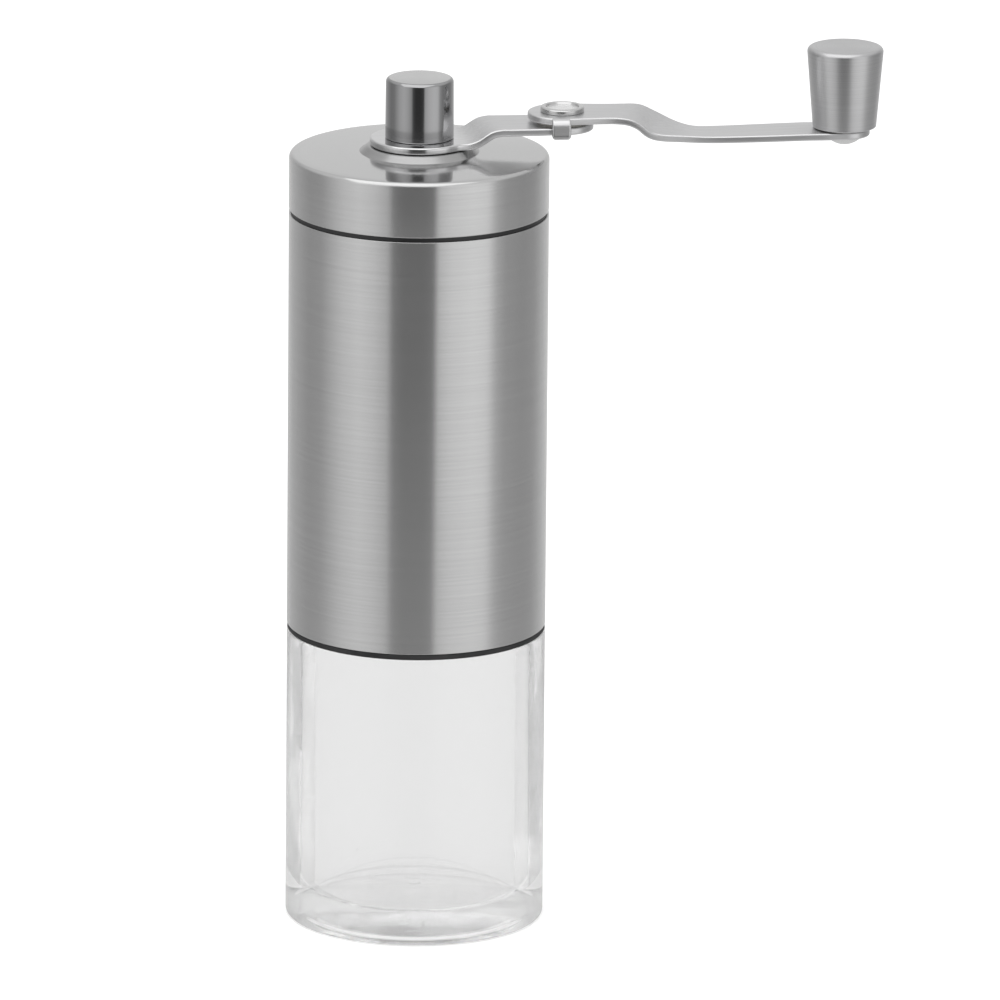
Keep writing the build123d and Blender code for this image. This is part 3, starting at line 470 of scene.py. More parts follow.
def stations(start, end, count):
    """Points evenly spaced along a straight stretch of an outline, both ends among them."""
    return [Vector(start).lerp(Vector(end), step / count) for step in range(count + 1)]


def geometry_tree(name, sizes, count=None):
    """A geometry tree that works on a blank, with a named input for each size and for a count."""
    tree = bpy.data.node_groups.new(name, "GeometryNodeTree")
    tree.interface.new_socket("Geometry", in_out="OUTPUT", socket_type="NodeSocketGeometry")
    tree.interface.new_socket("Blank", in_out="INPUT", socket_type="NodeSocketGeometry")
    kinds = {count: "Int"} if count else {}
    kinds.update(dict.fromkeys(sizes.split(), "Float"), Finish="Material")
    for size, kind in kinds.items():
        tree.interface.new_socket(size, in_out="INPUT", socket_type="NodeSocket" + kind)
    return tree, add(tree, "NodeGroupInput").outputs


def end_tree(tree, given, geometry):
    """Ends a geometry tree: what it made becomes real and takes its finish."""
    real = add(tree, "GeometryNodeRealizeInstances", {"Geometry": geometry})
    done = add(tree, "GeometryNodeSetMaterial", {"Geometry": real.outputs[0], "Material": given["Finish"]})
    add(tree, "NodeGroupOutput", {0: done.outputs[0]})
    return tree


def run_tree(piece, tree, **sizes):
    """Runs a geometry tree on a piece, and keeps the plain mesh that comes out."""
    step = piece.modifiers.new(tree.name, "NODES")
    step.node_group = tree
    for socket in tree.interface.items_tree:
        if socket.name in sizes:
            step[socket.identifier] = sizes[socket.name]
    settle(piece)


def cylindrical(tree):
    """The height, radius and angle of each point about the grinder's axis."""
    axes = split(tree, add(tree, "GeometryNodeInputPosition").outputs[0])
    squares = [maths(tree, "MULTIPLY", axes[axis], axes[axis]) for axis in "XY"]
    radius = maths(tree, "SQRT", maths(tree, "ADD", *squares))
    return axes["Z"], radius, maths(tree, "ARCTAN2", axes["Y"], axes["X"])


def in_band(tree, given, height, radius):
    """One at the points of a tree's band, between its low and high and its inner and outer, else nought."""
    tests = []
    for value, lower, upper in ((height, "Low", "High"), (radius, "Inner", "Outer")):
        tests.append(maths(tree, "GREATER_THAN", value, given[lower]))
        tests.append(maths(tree, "LESS_THAN", value, given[upper]))
    return maths(tree, "MULTIPLY", *tests)


def moved_points(tree, geometry, chosen, radius, angle, height):
    """Moves the chosen points of a geometry to a new radius, angle and height."""
    x = maths(tree, "MULTIPLY", radius, maths(tree, "COSINE", angle))
    y = maths(tree, "MULTIPLY", radius, maths(tree, "SINE", angle))
    inputs = {"Geometry": geometry, "Selection": chosen, "Position": joined(tree, X=x, Y=y, Z=height)}
    return add(tree, "GeometryNodeSetPosition", inputs).outputs[0]


def tooth_tree():
    """Cuts a ring of saw teeth into a band of a turned blank, and leans them round its axis."""
    tree, given = geometry_tree("cut_teeth", "Depth Fade Land Valley Low High Inner Outer Lean", "Teeth")
    height, radius, angle = cylindrical(tree)
    turns = maths(tree, "DIVIDE", maths(tree, "MULTIPLY", angle, given["Teeth"]), math.tau)
    share = maths(tree, "FRACT", turns)
    falling = between(tree, share, 0.0, 1.0, given["Land"], given["Valley"])
    rising = between(tree, share, 0.0, 1.0, 1.0, given["Valley"])
    climbed = maths(tree, "SUBTRACT", height, given["Low"])
    full = maths(tree, "SUBTRACT", given["Depth"], maths(tree, "MULTIPLY", given["Fade"], climbed))
    deep = maths(tree, "MULTIPLY", full, maths(tree, "MINIMUM", falling, rising))
    new_radius = maths(tree, "ADD", radius, deep)
    new_angle = maths(tree, "ADD", angle, maths(tree, "MULTIPLY", given["Lean"], climbed))
    chosen = in_band(tree, given, height, radius)
    return end_tree(tree, given, moved_points(tree, given["Blank"], chosen, new_radius, new_angle, height))


def round_bar(radius, low, high, sides):
    """A plain upright bar about the grinder's axis, round or with a few flat sides, to cut with."""
    return turned("cutter", [(0, low), (radius, low), (radius, high), (0, high)], steps=sides)


def cut_away(piece, others, operation="DIFFERENCE"):
    """Cuts other solids out of a piece, or joins them to it, and removes them from the scene."""
    for other in others:
        cut = piece.modifiers.new("cut", "BOOLEAN")
        cut.object = other
        cut.solver = "EXACT"
        cut.operation = operation
    settle(piece)
    for other in others:
        bpy.data.objects.remove(other)
    finish_mesh(piece.data)


def white_ceramic():
    """Pressed and fired zirconia: off-white, close-grained, with a few dark specks."""
    made, tree, place = material("white_ceramic")
    grain = noise(tree, place, 1400, 3.0)
    specks = between(tree, noise(tree, place, 520, 0.0), 0.0, 1.0, 0.74, 0.78)
    clouds = between(tree, noise(tree, place, 110), 0.0, 1.0)
    body = blended(tree, clouds, (0.70, 0.69, 0.66), (0.78, 0.775, 0.75))
    surfaced(tree, {
        "Base Color": blended(tree, specks, body, (0.35, 0.33, 0.30)),
        "Roughness": between(tree, grain, 0.36, 0.5),
        "Normal": bumps(tree, grain, 0.02 * mm),
    })
    return made


ceramic = white_ceramic()
teeth = tooth_tree()
half_up = (fine_top + outer_high.z) / 2
outer_half = (fine_throat - outer_ridge_narrowing[0], half_up)
outer_blank = (
    stations((burr_mouth, outer_low.z), (fine_throat, fine_top), 6)
    + stations((fine_throat, fine_top + zone_gap), outer_half, 6)
    + stations(outer_half, (fine_throat - outer_ridge_narrowing[1], outer_high.z), 6)[1:]
    + [
        Vector((burr_radius - burr_chamfer, outer_high.z)),
        Vector((burr_radius, outer_high.z - burr_chamfer)),
        Vector((burr_radius, outer_low.z + burr_chamfer)),
        Vector((burr_radius - burr_chamfer, outer_low.z)),
    ]
)
outer_ring = turned("outer_burr_ring", outer_blank, steps=blank_steps)
run_tree(
    outer_ring, teeth, Teeth=fine_teeth, Depth=fine_depth, Fade=fine_depth * fine_slope / burr_mouth,
    Land=tooth_land, Valley=tooth_valley, Low=outer_low.z - zone_gap, High=fine_top + zone_gap / 2,
    Inner=0.0, Outer=burr_mouth + zone_gap, Lean=fine_lean, Finish=ceramic,
)
run_tree(
    outer_ring, teeth, Teeth=outer_ridges, Depth=outer_ridge_depth, Fade=0.0,
    Land=ridge_land, Valley=outer_ridge_valley, Low=fine_top + zone_gap / 2, High=outer_high.z + zone_gap,
    Inner=0.0, Outer=fine_throat + zone_gap,
    Lean=outer_ridge_twist / (outer_high.z - fine_top), Finish=ceramic,
)
notches = []
for angle in key_angles:
    notches.append(round_bar(key_radius, outer_low.z - mm, outer_high.z + mm, 24))
    notches[-1].data.transform(Matrix.Rotation(angle, 4, "Z") @ Matrix.Translation((pocket_radius, 0, 0)))
cut_away(outer_ring, notches)
fit_piece(outer_ring, ceramic, "body", "ceramic", "outer_burr")

# ---------------- burr retainer and its screws
# Turned steel ring under the outer burr, held by three countersunk screws with crossed
# recesses. One screw is made, and a rule sets it round the ring.
screw_low, screw_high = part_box("retainer_screws")
skirt_inner = 25.18 * mm
screw_circle = (pocket_radius + skirt_inner) / 2
screw_radius = 1.2 * mm
screw_head_radius = 1.9 * mm
screw_head_top = screw_low.z + 0.75 * mm
screw_point = 0.7 * mm
screw_pitch = 0.8 * mm
screw_cut = 0.18 * mm
recess_depth = 0.8 * mm
recess_width = 0.5 * mm
recess_length = 2.2 * mm

gloss_low, gloss_high = 70 * mm, 150 * mm


def reach(tree, axes):
    """How far a place lies from the upright axis through nought."""
    flat = joined(tree, X=axes["X"], Y=axes["Y"])
    return add(tree, "ShaderNodeVectorMath", {0: flat}, operation="LENGTH").outputs["Value"]


def turning_lines(tree, place, axis_x, fineness):
    """Noise in rings about an upright axis, round a wall and a face alike: radius and height both count."""
    moved = add(tree, "ShaderNodeMapping", {"Vector": place, "Location": (-axis_x, 0, 0)})
    axes = split(tree, moved.outputs["Vector"])
    level = maths(tree, "ADD", reach(tree, axes), axes["Z"])
    return noise(tree, joined(tree, X=axes["X"], Y=axes["Y"], Z=level), (25, 25, fineness), 4.0)


def turned_metal(name, tone, roughness, fineness, axis_x=0.0, pull=0.6, depth=0.004 * mm, shade=0.94):
    """Metal worked round an axis: fine lines, gloss drawn out across them, and faint hand marks.
    The roughness is a pair, reached at the lower and the upper height for gloss."""
    made, tree, place = material(name)
    lines = turning_lines(tree, place, axis_x, fineness)
    handled = noise(tree, place, (55, 55, 40), 3.0)
    worked = between(tree, split(tree, place)["Z"], *roughness, gloss_low, gloss_high)
    gloss = maths(tree, "MULTIPLY", worked, between(tree, handled, 0.97, 1.03))
    dark = [channel * shade for channel in tone]
    light = [channel * (2 - shade) for channel in tone]
    around = add(tree, "ShaderNodeTangent", direction_type="RADIAL", axis="Z")
    surfaced(tree, {
        "Base Color": blended(tree, between(tree, lines, 0.0, 1.0), dark, light),
        "Metallic": 0.94, "Roughness": gloss,
        "Anisotropic": pull, "Anisotropic Rotation": 0.25, "Tangent": around.outputs[0],
        "Normal": bumps(tree, lines, depth),
    })
    return made


def dress(finish, *nodes):
    """Gives CAD nodes that stay in view their finish."""
    for node in nodes:
        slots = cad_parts[node].data.materials
        for index in range(len(slots)):
            slots[index] = finish


def box_solid(low, high):
    """A plain block between two corners, to cut with."""
    shape = bmesh.new()
    bmesh.ops.create_cube(shape, size=1.0)
    middle = Matrix.Translation((Vector(low) + Vector(high)) / 2)
    size = Matrix.Diagonal((*(Vector(high) - Vector(low)), 1.0))
    bmesh.ops.transform(shape, matrix=middle @ size, verts=shape.verts)
    mesh = bpy.data.meshes.new("cutter")
    shape.to_mesh(mesh)
    shape.free()
    return placed("cutter", mesh)


def crossed(reach_out, half_width, low, high):
    """Two blocks that cross on the grinder's axis, to cut with."""
    halves = ((reach_out, half_width), (half_width, reach_out))
    return [box_solid((-x, -y, low), (x, y, high)) for x, y in halves]


def thread_tree():
    """Cuts a right-hand thread into a band of a turned rod, fading out at both ends."""
    tree, given = geometry_tree("cut_thread", "Pitch Depth Low High Inner Outer")
    height, radius, angle = cylindrical(tree)
    climb = maths(tree, "DIVIDE", height, given["Pitch"])
    turns = maths(tree, "SUBTRACT", climb, maths(tree, "DIVIDE", angle, math.tau))
    saw = maths(tree, "ABSOLUTE", maths(tree, "SUBTRACT", maths(tree, "FRACT", turns), 0.5))
    from_low = maths(tree, "DIVIDE", maths(tree, "SUBTRACT", height, given["Low"]), given["Pitch"])
    from_high = maths(tree, "DIVIDE", maths(tree, "SUBTRACT", given["High"], height), given["Pitch"])
    fade = maths(tree, "MINIMUM", 1.0, from_low, from_high)
    full = maths(tree, "MULTIPLY", given["Depth"], 2.0)
    cut = maths(tree, "MULTIPLY", full, maths(tree, "MULTIPLY", saw, fade))
    new_radius = maths(tree, "SUBTRACT", radius, cut)
    chosen = in_band(tree, given, height, radius)
    return end_tree(tree, given, moved_points(tree, given["Blank"], chosen, new_radius, angle, height))


def ring_tree():
    """Sets copies of a part round a circle."""
    tree, given = geometry_tree("set_round", "Circle Start", "Count")
    circle = add(tree, "GeometryNodeMeshCircle", {"Vertices": given["Count"], "Radius": given["Circle"]})
    turn = joined(tree, Z=given["Start"])
    spun = add(tree, "GeometryNodeTransform", {"Geometry": circle.outputs[0], "Rotation": turn})
    inputs = {"Points": spun.outputs[0], "Instance": given["Blank"]}
    return end_tree(tree, given, add(tree, "GeometryNodeInstanceOnPoints", inputs).outputs[0])


machined_steel = turned_metal("machined_steel", (0.60, 0.60, 0.61), (0.24, 0.24), 5200, pull=0.5)
dress(machined_steel, "burr_retainer")
threads = thread_tree()
screw_outline = (
    [Vector((0, screw_low.z)), Vector((screw_head_radius, screw_low.z))]
    + stations((screw_radius, screw_head_top), (screw_radius, screw_high.z - screw_point), 70)
    + [Vector((0.3 * mm, screw_high.z)), Vector((0, screw_high.z))]
)
screws = turned("retainer_screw_set", screw_outline, steps=32)
run_tree(
    screws, threads, Pitch=screw_pitch, Depth=screw_cut, Low=screw_head_top + 0.2 * mm,
    High=screw_high.z - 0.6 * mm, Inner=0.9 * screw_radius, Outer=1.1 * screw_radius, Finish=machined_steel,
)
cut_away(screws, crossed(recess_length / 2, recess_width / 2, 0, screw_low.z + recess_depth))
run_tree(screws, ring_tree(), Count=3, Circle=screw_circle, Start=math.radians(30.0), Finish=machined_steel)
finish_mesh(screws.data)
fit_piece(screws, machined_steel, "body", "shaft_steel", "retainer_screws")

# ---------------- inner burr and its carrier
# A ceramic cone with fine teeth at its foot and seven spiral ridges above them. Four dogs
# on the steel carrier drive it from below.
inner_low, inner_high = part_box("inner_burr")
burr_gap = 0.55 * mm
inner_mouth = burr_mouth - burr_gap - (inner_low.z - outer_low.z) * fine_slope
inner_throat = burr_mouth - burr_gap - fine_height * fine_slope
inner_ridges = 7
inner_ridge_depth = 2.7 * mm
inner_ridge_fade = 1.3 / 14.9
inner_ridge_twist = math.radians(-36.0)
inner_bulge = 0.5 * mm
inner_top_radius = 7.6 * mm
carrier_bore = 4.92 * mm
dog_reach = 9.6 * mm
dog_slot = 1.6 * mm
dog_slot_height = 1.8 * mm
inner_edge = inner_throat - slip
inner_middle = (inner_edge + inner_top_radius) / 2 + inner_bulge
middle_height = (fine_top + inner_high.z) / 2
inner_ridge_valley = 0.65

inner_blank = (
    stations((carrier_bore, inner_low.z), (inner_throat - 2 * fine_depth, inner_low.z), 1)
    + stations((inner_mouth, inner_low.z), (inner_throat, fine_top), 6)
    + stations((inner_edge, fine_top + zone_gap), (inner_middle, middle_height), 7)
    + stations((inner_middle, middle_height), (inner_top_radius, inner_high.z), 7)[1:]
    + [Vector((carrier_bore, inner_high.z))]
)
inner_cone = turned("inner_burr_cone", inner_blank, steps=252)
run_tree(
    inner_cone, teeth, Teeth=fine_teeth, Depth=-fine_depth, Fade=-fine_depth * fine_slope / inner_mouth,
    Land=tooth_land, Valley=tooth_valley, Low=inner_low.z - zone_gap, High=fine_top + zone_gap / 2,
    Inner=inner_throat - fine_depth, Outer=inner_mouth + zone_gap, Lean=-fine_lean, Finish=ceramic,
)
run_tree(
    inner_cone, teeth, Teeth=inner_ridges, Depth=-inner_ridge_depth, Fade=-inner_ridge_fade,
    Land=ridge_land, Valley=inner_ridge_valley, Low=fine_top + zone_gap / 2, High=inner_high.z + zone_gap,
    Inner=carrier_bore + mm, Outer=inner_mouth,
    Lean=inner_ridge_twist / (inner_high.z - fine_top), Finish=ceramic,
)
cut_away(inner_cone, crossed(dog_reach, dog_slot, inner_low.z - mm, inner_low.z + dog_slot_height))
fit_piece(inner_cone, ceramic, "carrier", "ceramic", "inner_burr")
dress(machined_steel, "burr_carrier")

# ---------------- grind adjuster
# A moulded finger wheel on a bronze nut. The nut climbs the shaft's thread, and the wheel
# clicks against the dimples of a spring-steel plate under the carrier.
wheel_edge = 0.25 * mm

def spring_steel():
    """Tempered spring steel: grey with a faint straw and blue cast that drifts along it."""
    tones = (0.42, 0.41, 0.39), (0.46, 0.46, 0.48)
    return mottled("spring_steel", (240,), tones, (0.22, 0.32), (3000,), 0.004 * mm, Metallic=1.0)


def bronze():
    """Sintered bronze: warm, open-pored, and darker in its pores."""
    pores = (2600,)
    tones = (0.20, 0.12, 0.06), (0.56, 0.38, 0.20)
    return mottled(
        "sintered_bronze", pores, tones, (0.5, 0.34), pores, 0.02 * mm, source=(0.35, 0.5), Metallic=1.0,
    )


sprung = spring_steel()
bushing = bronze()
dress(sprung, "click_plate")
dress(bushing, "adjuster_nut")
finger_wheel = merged_copy("finger_wheel", "adjuster_wheel", wheel_edge)
fit_piece(finger_wheel, moulded_black, "adjuster", "black_plastic", "adjuster_wheel")

# ---------------- drive shaft
# One turned rod: a threaded foot for the nut, two flats that the carrier slides on, round
# journals, a collar, and a hexagonal end for the crank's socket.
shaft_low, shaft_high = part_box("drive_shaft")
rod_radius = 3.0 * mm
rod_flat = 2.4 * mm
thread_radius = 2.5 * mm
thread_pitch = 0.8 * mm
thread_depth = 0.42 * mm
thread_top = shaft_low.z + 9.0 * mm
flats_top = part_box("thrust_washer")[0].z
face_gap = 0.05 * mm
collar_radius = 4.6 * mm
collar_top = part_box("inner_arm")[0].z - face_gap
collar_height = 2.0 * mm
clip_low, clip_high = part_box("shaft_clip")
clip_seat = 2.6 * mm
hex_flat = 2.5 * mm
hex_corner = hex_flat / math.cos(math.pi / 6)
hex_chamfer = 0.4 * mm

rod_outline = (
    [Vector((0, shaft_low.z)), Vector((thread_radius - 0.5 * mm, shaft_low.z))]
    + stations((thread_radius, shaft_low.z + 0.5 * mm), (thread_radius, thread_top), 100)
    + rounded([
        (rod_radius, thread_top, 0),
        (rod_radius, clip_low.z, 0),
        (clip_seat, clip_low.z, 0),
        (clip_seat, clip_high.z, 0),
        (rod_radius, clip_high.z, 0),
        (rod_radius, collar_top - collar_height, 0.2 * mm),
        (collar_radius, collar_top - collar_height, 0.2 * mm),
        (collar_radius, collar_top, 0.2 * mm),
        (0, collar_top, 0),
    ], steps=3)
)
rod = turned("crank_rod", rod_outline, steps=64)
run_tree(
    rod, threads, Pitch=thread_pitch, Depth=thread_depth, Low=shaft_low.z + 0.45 * mm,
    High=thread_top - 0.3 * mm, Inner=0.95 * thread_radius, Outer=1.05 * thread_radius, Finish=machined_steel,
)
for side in (-1, 1):
    near, far = sorted((side * rod_flat, side * 2 * rod_radius))
    cut_away(rod, [box_solid((-2 * rod_radius, near, thread_top), (2 * rod_radius, far, flats_top))])
hex_outline = [
    (0, collar_top - mm), (hex_corner, collar_top - mm), (hex_corner, shaft_high.z - hex_chamfer),
    (hex_corner - hex_chamfer, shaft_high.z), (0, shaft_high.z),
]
cut_away(rod, [turned("hex_end", hex_outline, steps=6)], "UNION")
fit_piece(rod, machined_steel, "shaft", "shaft_steel", "drive_shaft")
dress(sprung, "shaft_clip")
dress(machined_steel, "thrust_washer")
dress(bushing, "lower_bush", "upper_bush")

# ---------------- burr spring
# Wound from round wire with its end turns closed up. It presses the carrier down on the adjuster.
spring_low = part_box("burr_carrier")[1].z + press_gap
spring_high = flats_top - press_gap
wire_radius = 0.4 * mm
coil_radius = 4.2 * mm
coil_turns = 4.0
coil_closing = 0.5


def spring_tree():
    """Winds a round wire into a coil whose first and last turns lie closer together."""
    tree, given = geometry_tree("wind_spring", "Turns Radius Height Low Wire Closing")
    line = add(tree, "GeometryNodeCurveSpiral", {
        "Resolution": 32, "Rotations": given["Turns"], "Start Radius": given["Radius"],
        "End Radius": given["Radius"], "Height": given["Height"],
    })
    axes = split(tree, add(tree, "GeometryNodeInputPosition").outputs[0])
    share = maths(tree, "DIVIDE", axes["Z"], given["Height"])
    wave = maths(tree, "SINE", maths(tree, "MULTIPLY", share, math.tau))
    pull = maths(tree, "MULTIPLY", wave, maths(tree, "DIVIDE", given["Closing"], math.tau))
    eased = maths(tree, "MULTIPLY", maths(tree, "SUBTRACT", share, pull), given["Height"])
    place = joined(tree, X=axes["X"], Y=axes["Y"], Z=maths(tree, "ADD", given["Low"], eased))
    coil = add(tree, "GeometryNodeSetPosition", {"Geometry": line.outputs[0], "Position": place})
    wire = add(tree, "GeometryNodeCurvePrimitiveCircle", {"Resolution": 16, "Radius": given["Wire"]})
    tube = add(tree, "GeometryNodeCurveToMesh", {
        "Curve": coil.outputs[0], "Profile Curve": wire.outputs[0], "Fill Caps": True,
    })
    return end_tree(tree, given, tube.outputs[0])


spring = placed("carrier_spring", bpy.data.meshes.new("carrier_spring"))
run_tree(
    spring, spring_tree(), Turns=coil_turns, Radius=coil_radius, Low=spring_low + wire_radius,
    Height=spring_high - spring_low - 2 * wire_radius, Wire=wire_radius, Closing=coil_closing, Finish=sprung,
)
finish_mesh(spring.data, 50)
spring.data.materials.clear()
spring.data.materials.append(sprung)
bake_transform(spring)
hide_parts("burr_spring")

# ---------------- upper bridge
# Guide moulded in the housing's plastic and pressed into the tube under the lid. It holds
# the upper bush, and beans fall between its arms.
guide = merged_copy("bean_guide", "upper_bridge", moulded_edge)
fit_piece(guide, moulded_black, "body", "black_plastic", "upper_bridge")

# ---------------- body tube
# Thin steel tube, brushed round its axis on a belt, with its cut ends broken smooth. The
# housing is pressed up into it and the guide down into it.
tube_low, tube_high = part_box("body_tube")
tube_wall = 0.6 * mm
brushed = turned_metal(
    "brushed_steel", (0.64,) * 3, (0.265, 0.22), 2600, pull=0.96, depth=0.0008 * mm, shade=0.97,
)
tube_outline = rounded([
    (tube_high.x - tube_wall, tube_low.z, 0.1 * mm),
    (tube_high.x, tube_low.z, 0.2 * mm),
    (tube_high.x, tube_high.z, 0.1 * mm),
    (tube_high.x - tube_wall, tube_high.z, 0.1 * mm),
])
fit_piece(turned("body_shell", tube_outline, steps=256), brushed, "body", "brushed_steel", "body_tube")

# ---------------- lid
# Drawn from the same steel: a shallow cap with a rounded edge, and a low boss round the
# shaft hole. Its top is polished with a rotating pad. A plastic liner is pressed into it,
# with a rubber ring that grips the tube.
lid_low, lid_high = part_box("lid")
lid_wall = 0.8 * mm
lid_boss = 12.2 * mm
lid_boss_height = 1.1 * mm
lid_hole = 5.0 * mm
lid_top = lid_high.z - lid_boss_height
lid_edge_radius = 1.0 * mm
lid_crown = 0.6 * mm
boss_rise = 0.7 * mm
boss_foot = lid_top + 0.78 * lid_crown
boss_top = lid_high.z + boss_rise
crown = []
for share in (0.9, 0.75, 0.6, 0.49):
    crown.append((share * lid_high.x, lid_top + lid_crown * (1 - share ** 2), 0))
lid_outline = rounded([
    (lid_high.x - lid_wall, lid_low.z, 0.15 * mm),
    (lid_high.x, lid_low.z, 0.25 * mm),
    (lid_high.x, lid_top, lid_edge_radius),
    *crown,
    (lid_boss + 0.1 * mm, boss_foot, 0.4 * mm),
    (lid_boss - 1.5 * mm, boss_top, 0.9 * mm),
    (lid_hole, boss_top, 0.2 * mm),
    (lid_hole, lid_high.z - lid_wall, 0.2 * mm),
    (lid_boss - lid_wall, lid_high.z - lid_wall, 0.3 * mm),
    (lid_boss - lid_wall, lid_top - lid_wall, 0.3 * mm),
    (lid_high.x - lid_wall, lid_top - lid_wall, 0.8 * mm),
], steps=8)
lid_shell = turned("lid_shell", lid_outline, steps=256)
fit_piece(lid_shell, brushed, "lid", "brushed_steel", "lid")


def face_finish(piece, finish, chosen):
    """Gives a finish of their own to the faces of a piece that a test chooses."""
    piece.data.materials.append(finish)
    for face in piece.data.polygons:
        if chosen(face):
            face.material_index = len(piece.data.materials) - 1


def on_lid_top(face):
    """Whether a face of the lid is on its top or on the upper part of its rounded edge."""
    return face.center.z > lid_top - 0.3 * lid_edge_radius and face.normal.z > 0


def on_boss(face):
    """Whether a face of the lid is on its boss."""
    return on_lid_top(face) and face.center.xy.length < lid_boss + 0.3 * mm


face_finish(lid_shell, turned_metal(
    "polished_lid", (0.60,) * 3, (0.11, 0.11), 3600, pull=0.2, depth=0.0003 * mm, shade=0.985,
), on_lid_top)
# The boss is rougher than the polished top, and its tone is also darker: painted shade that dims the lamp's
# highlight on its rounded edge.
face_finish(lid_shell, turned_metal(
    "boss_painted_shade", (0.42,) * 3, (0.24, 0.24), 4200, pull=0.3, depth=0.001 * mm,
), on_boss)

seal_low, seal_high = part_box("lid_seal")
seal_wire = (seal_high.z - seal_low.z) / 2
seal_middle = Vector((seal_high.x - seal_wire, seal_low.z + seal_wire))
wire_section = []
for step in range(16):
    angle = math.tau * step / 16
    wire_section.append(seal_middle + Vector((seal_wire * math.cos(angle), seal_wire * math.sin(angle))))
fit_piece(turned("lid_ring", wire_section, steps=160), rubber, "lid", "black_rubber", "lid_seal")
dress(moulded_black, "lid_liner")

# ---------------- socket cap
# Turned and polished: it stands on the inner arm, where its spigot is riveted over, and it
# holds the hexagonal socket that drops over the shaft.
cap_low, cap_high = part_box("socket_cap")
strip = 1.5 * mm
cap_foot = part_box("inner_arm")[0].z + strip + press_gap
cap_radius = cap_high.x
cap_top_radius = cap_radius - 0.1 * mm
spigot_radius = 5.2 * mm
socket_corner = (hex_flat + slip) / math.cos(math.pi / 6)
socket_depth = 11.85 * mm


def polished_steel():
    """Polished steel with hairline scratches and faint smudges."""
    made, tree, place = material("polished_steel")
    smudge = noise(tree, place, (220, 220, 160), 3.0)
    surfaced(tree, {
        "Base Color": (0.41, 0.41, 0.415, 1), "Metallic": 1.0,
        "Roughness": between(tree, smudge, 0.08, 0.13),
        "Normal": bumps(tree, noise(tree, place, (900, 900, 5200), 3.0), 0.001 * mm),
    })
    return made


polished = polished_steel()
cap_outline = rounded([
    (0, cap_low.z, 0),
    (spigot_radius, cap_low.z, 0.2 * mm),
    (spigot_radius, cap_foot, 0),
    (cap_radius, cap_foot, 0.3 * mm),
    (cap_top_radius, cap_high.z, 0.9 * mm),
    (0, cap_high.z, 0),
])
cap = turned("crank_cap", cap_outline, steps=192)
cut_away(cap, [round_bar(socket_corner, cap_low.z - mm, collar_top + socket_depth, 6)])
fit_piece(cap, polished, "crank", "polished_steel", "socket_cap")
faced = turned_metal("faced_steel", (0.61,) * 3, (0.22, 0.22), 5000, pull=0.3, depth=0.001 * mm)
face_finish(cap, faced, lambda face: face.center.z > cap_high.z - 0.03 * mm)

# ---------------- crank arms
# Two stamped strips of satin steel with tumbled edges. The inner one rises from the hub
# plate to the rivet. The outer one steps down past the rivet and carries a tab, bent over
# the inner arm's edge, that takes the push of grinding. A nylon washer keeps them apart.
tumbled_edge = 0.4 * mm
arm_ring_steps = 5
hub_plate_radius = 10.3 * mm
hub_polish = 9.6 * mm
hub_polish_end = 13.0 * mm
inner_low, inner_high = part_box("inner_arm")
outer_low, outer_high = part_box("outer_arm")
rivet_low, rivet_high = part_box("fold_rivet")
rivet_x = (rivet_low.x + rivet_high.x) / 2
rivet_radius = 2.4 * mm
pin_radius = 2.5 * mm
crank_end = outer_high.x - 5.3 * mm
tab_x = rivet_x - 0.9 * mm
tab_half = 1.95 * mm
tab_reach = 8.25 * mm
tab_bend = 1.65 * mm
tab_corner = 0.8 * mm
tab_foot = outer_high.z - 4.25 * mm


def through(points, at):
    """The height at a place on a smooth line through a few (place, height) points, and its slope."""
    slopes = []
    for index, (x, z) in enumerate(points):
        before = points[max(index - 1, 0)]
        after = points[min(index + 1, len(points) - 1)]
        slopes.append((after[1] - before[1]) / (after[0] - before[0]))
    for index in range(len(points) - 1):
        if at <= points[index + 1][0] or index == len(points) - 2:
            (x, z), (next_x, next_z) = points[index], points[index + 1]
            run = next_x - x
            t = min(1.0, max(0.0, (at - x) / run))
            a, b = slopes[index] * run, slopes[index + 1] * run
            rise = next_z - z
            height = z + a * t + (3 * rise - 2 * a - b) * t ** 2 + (a + b - 2 * rise) * t ** 3
            slope = (a + 2 * (3 * rise - 2 * a - b) * t + 3 * (a + b - 2 * rise) * t ** 2) / run
            return height, slope


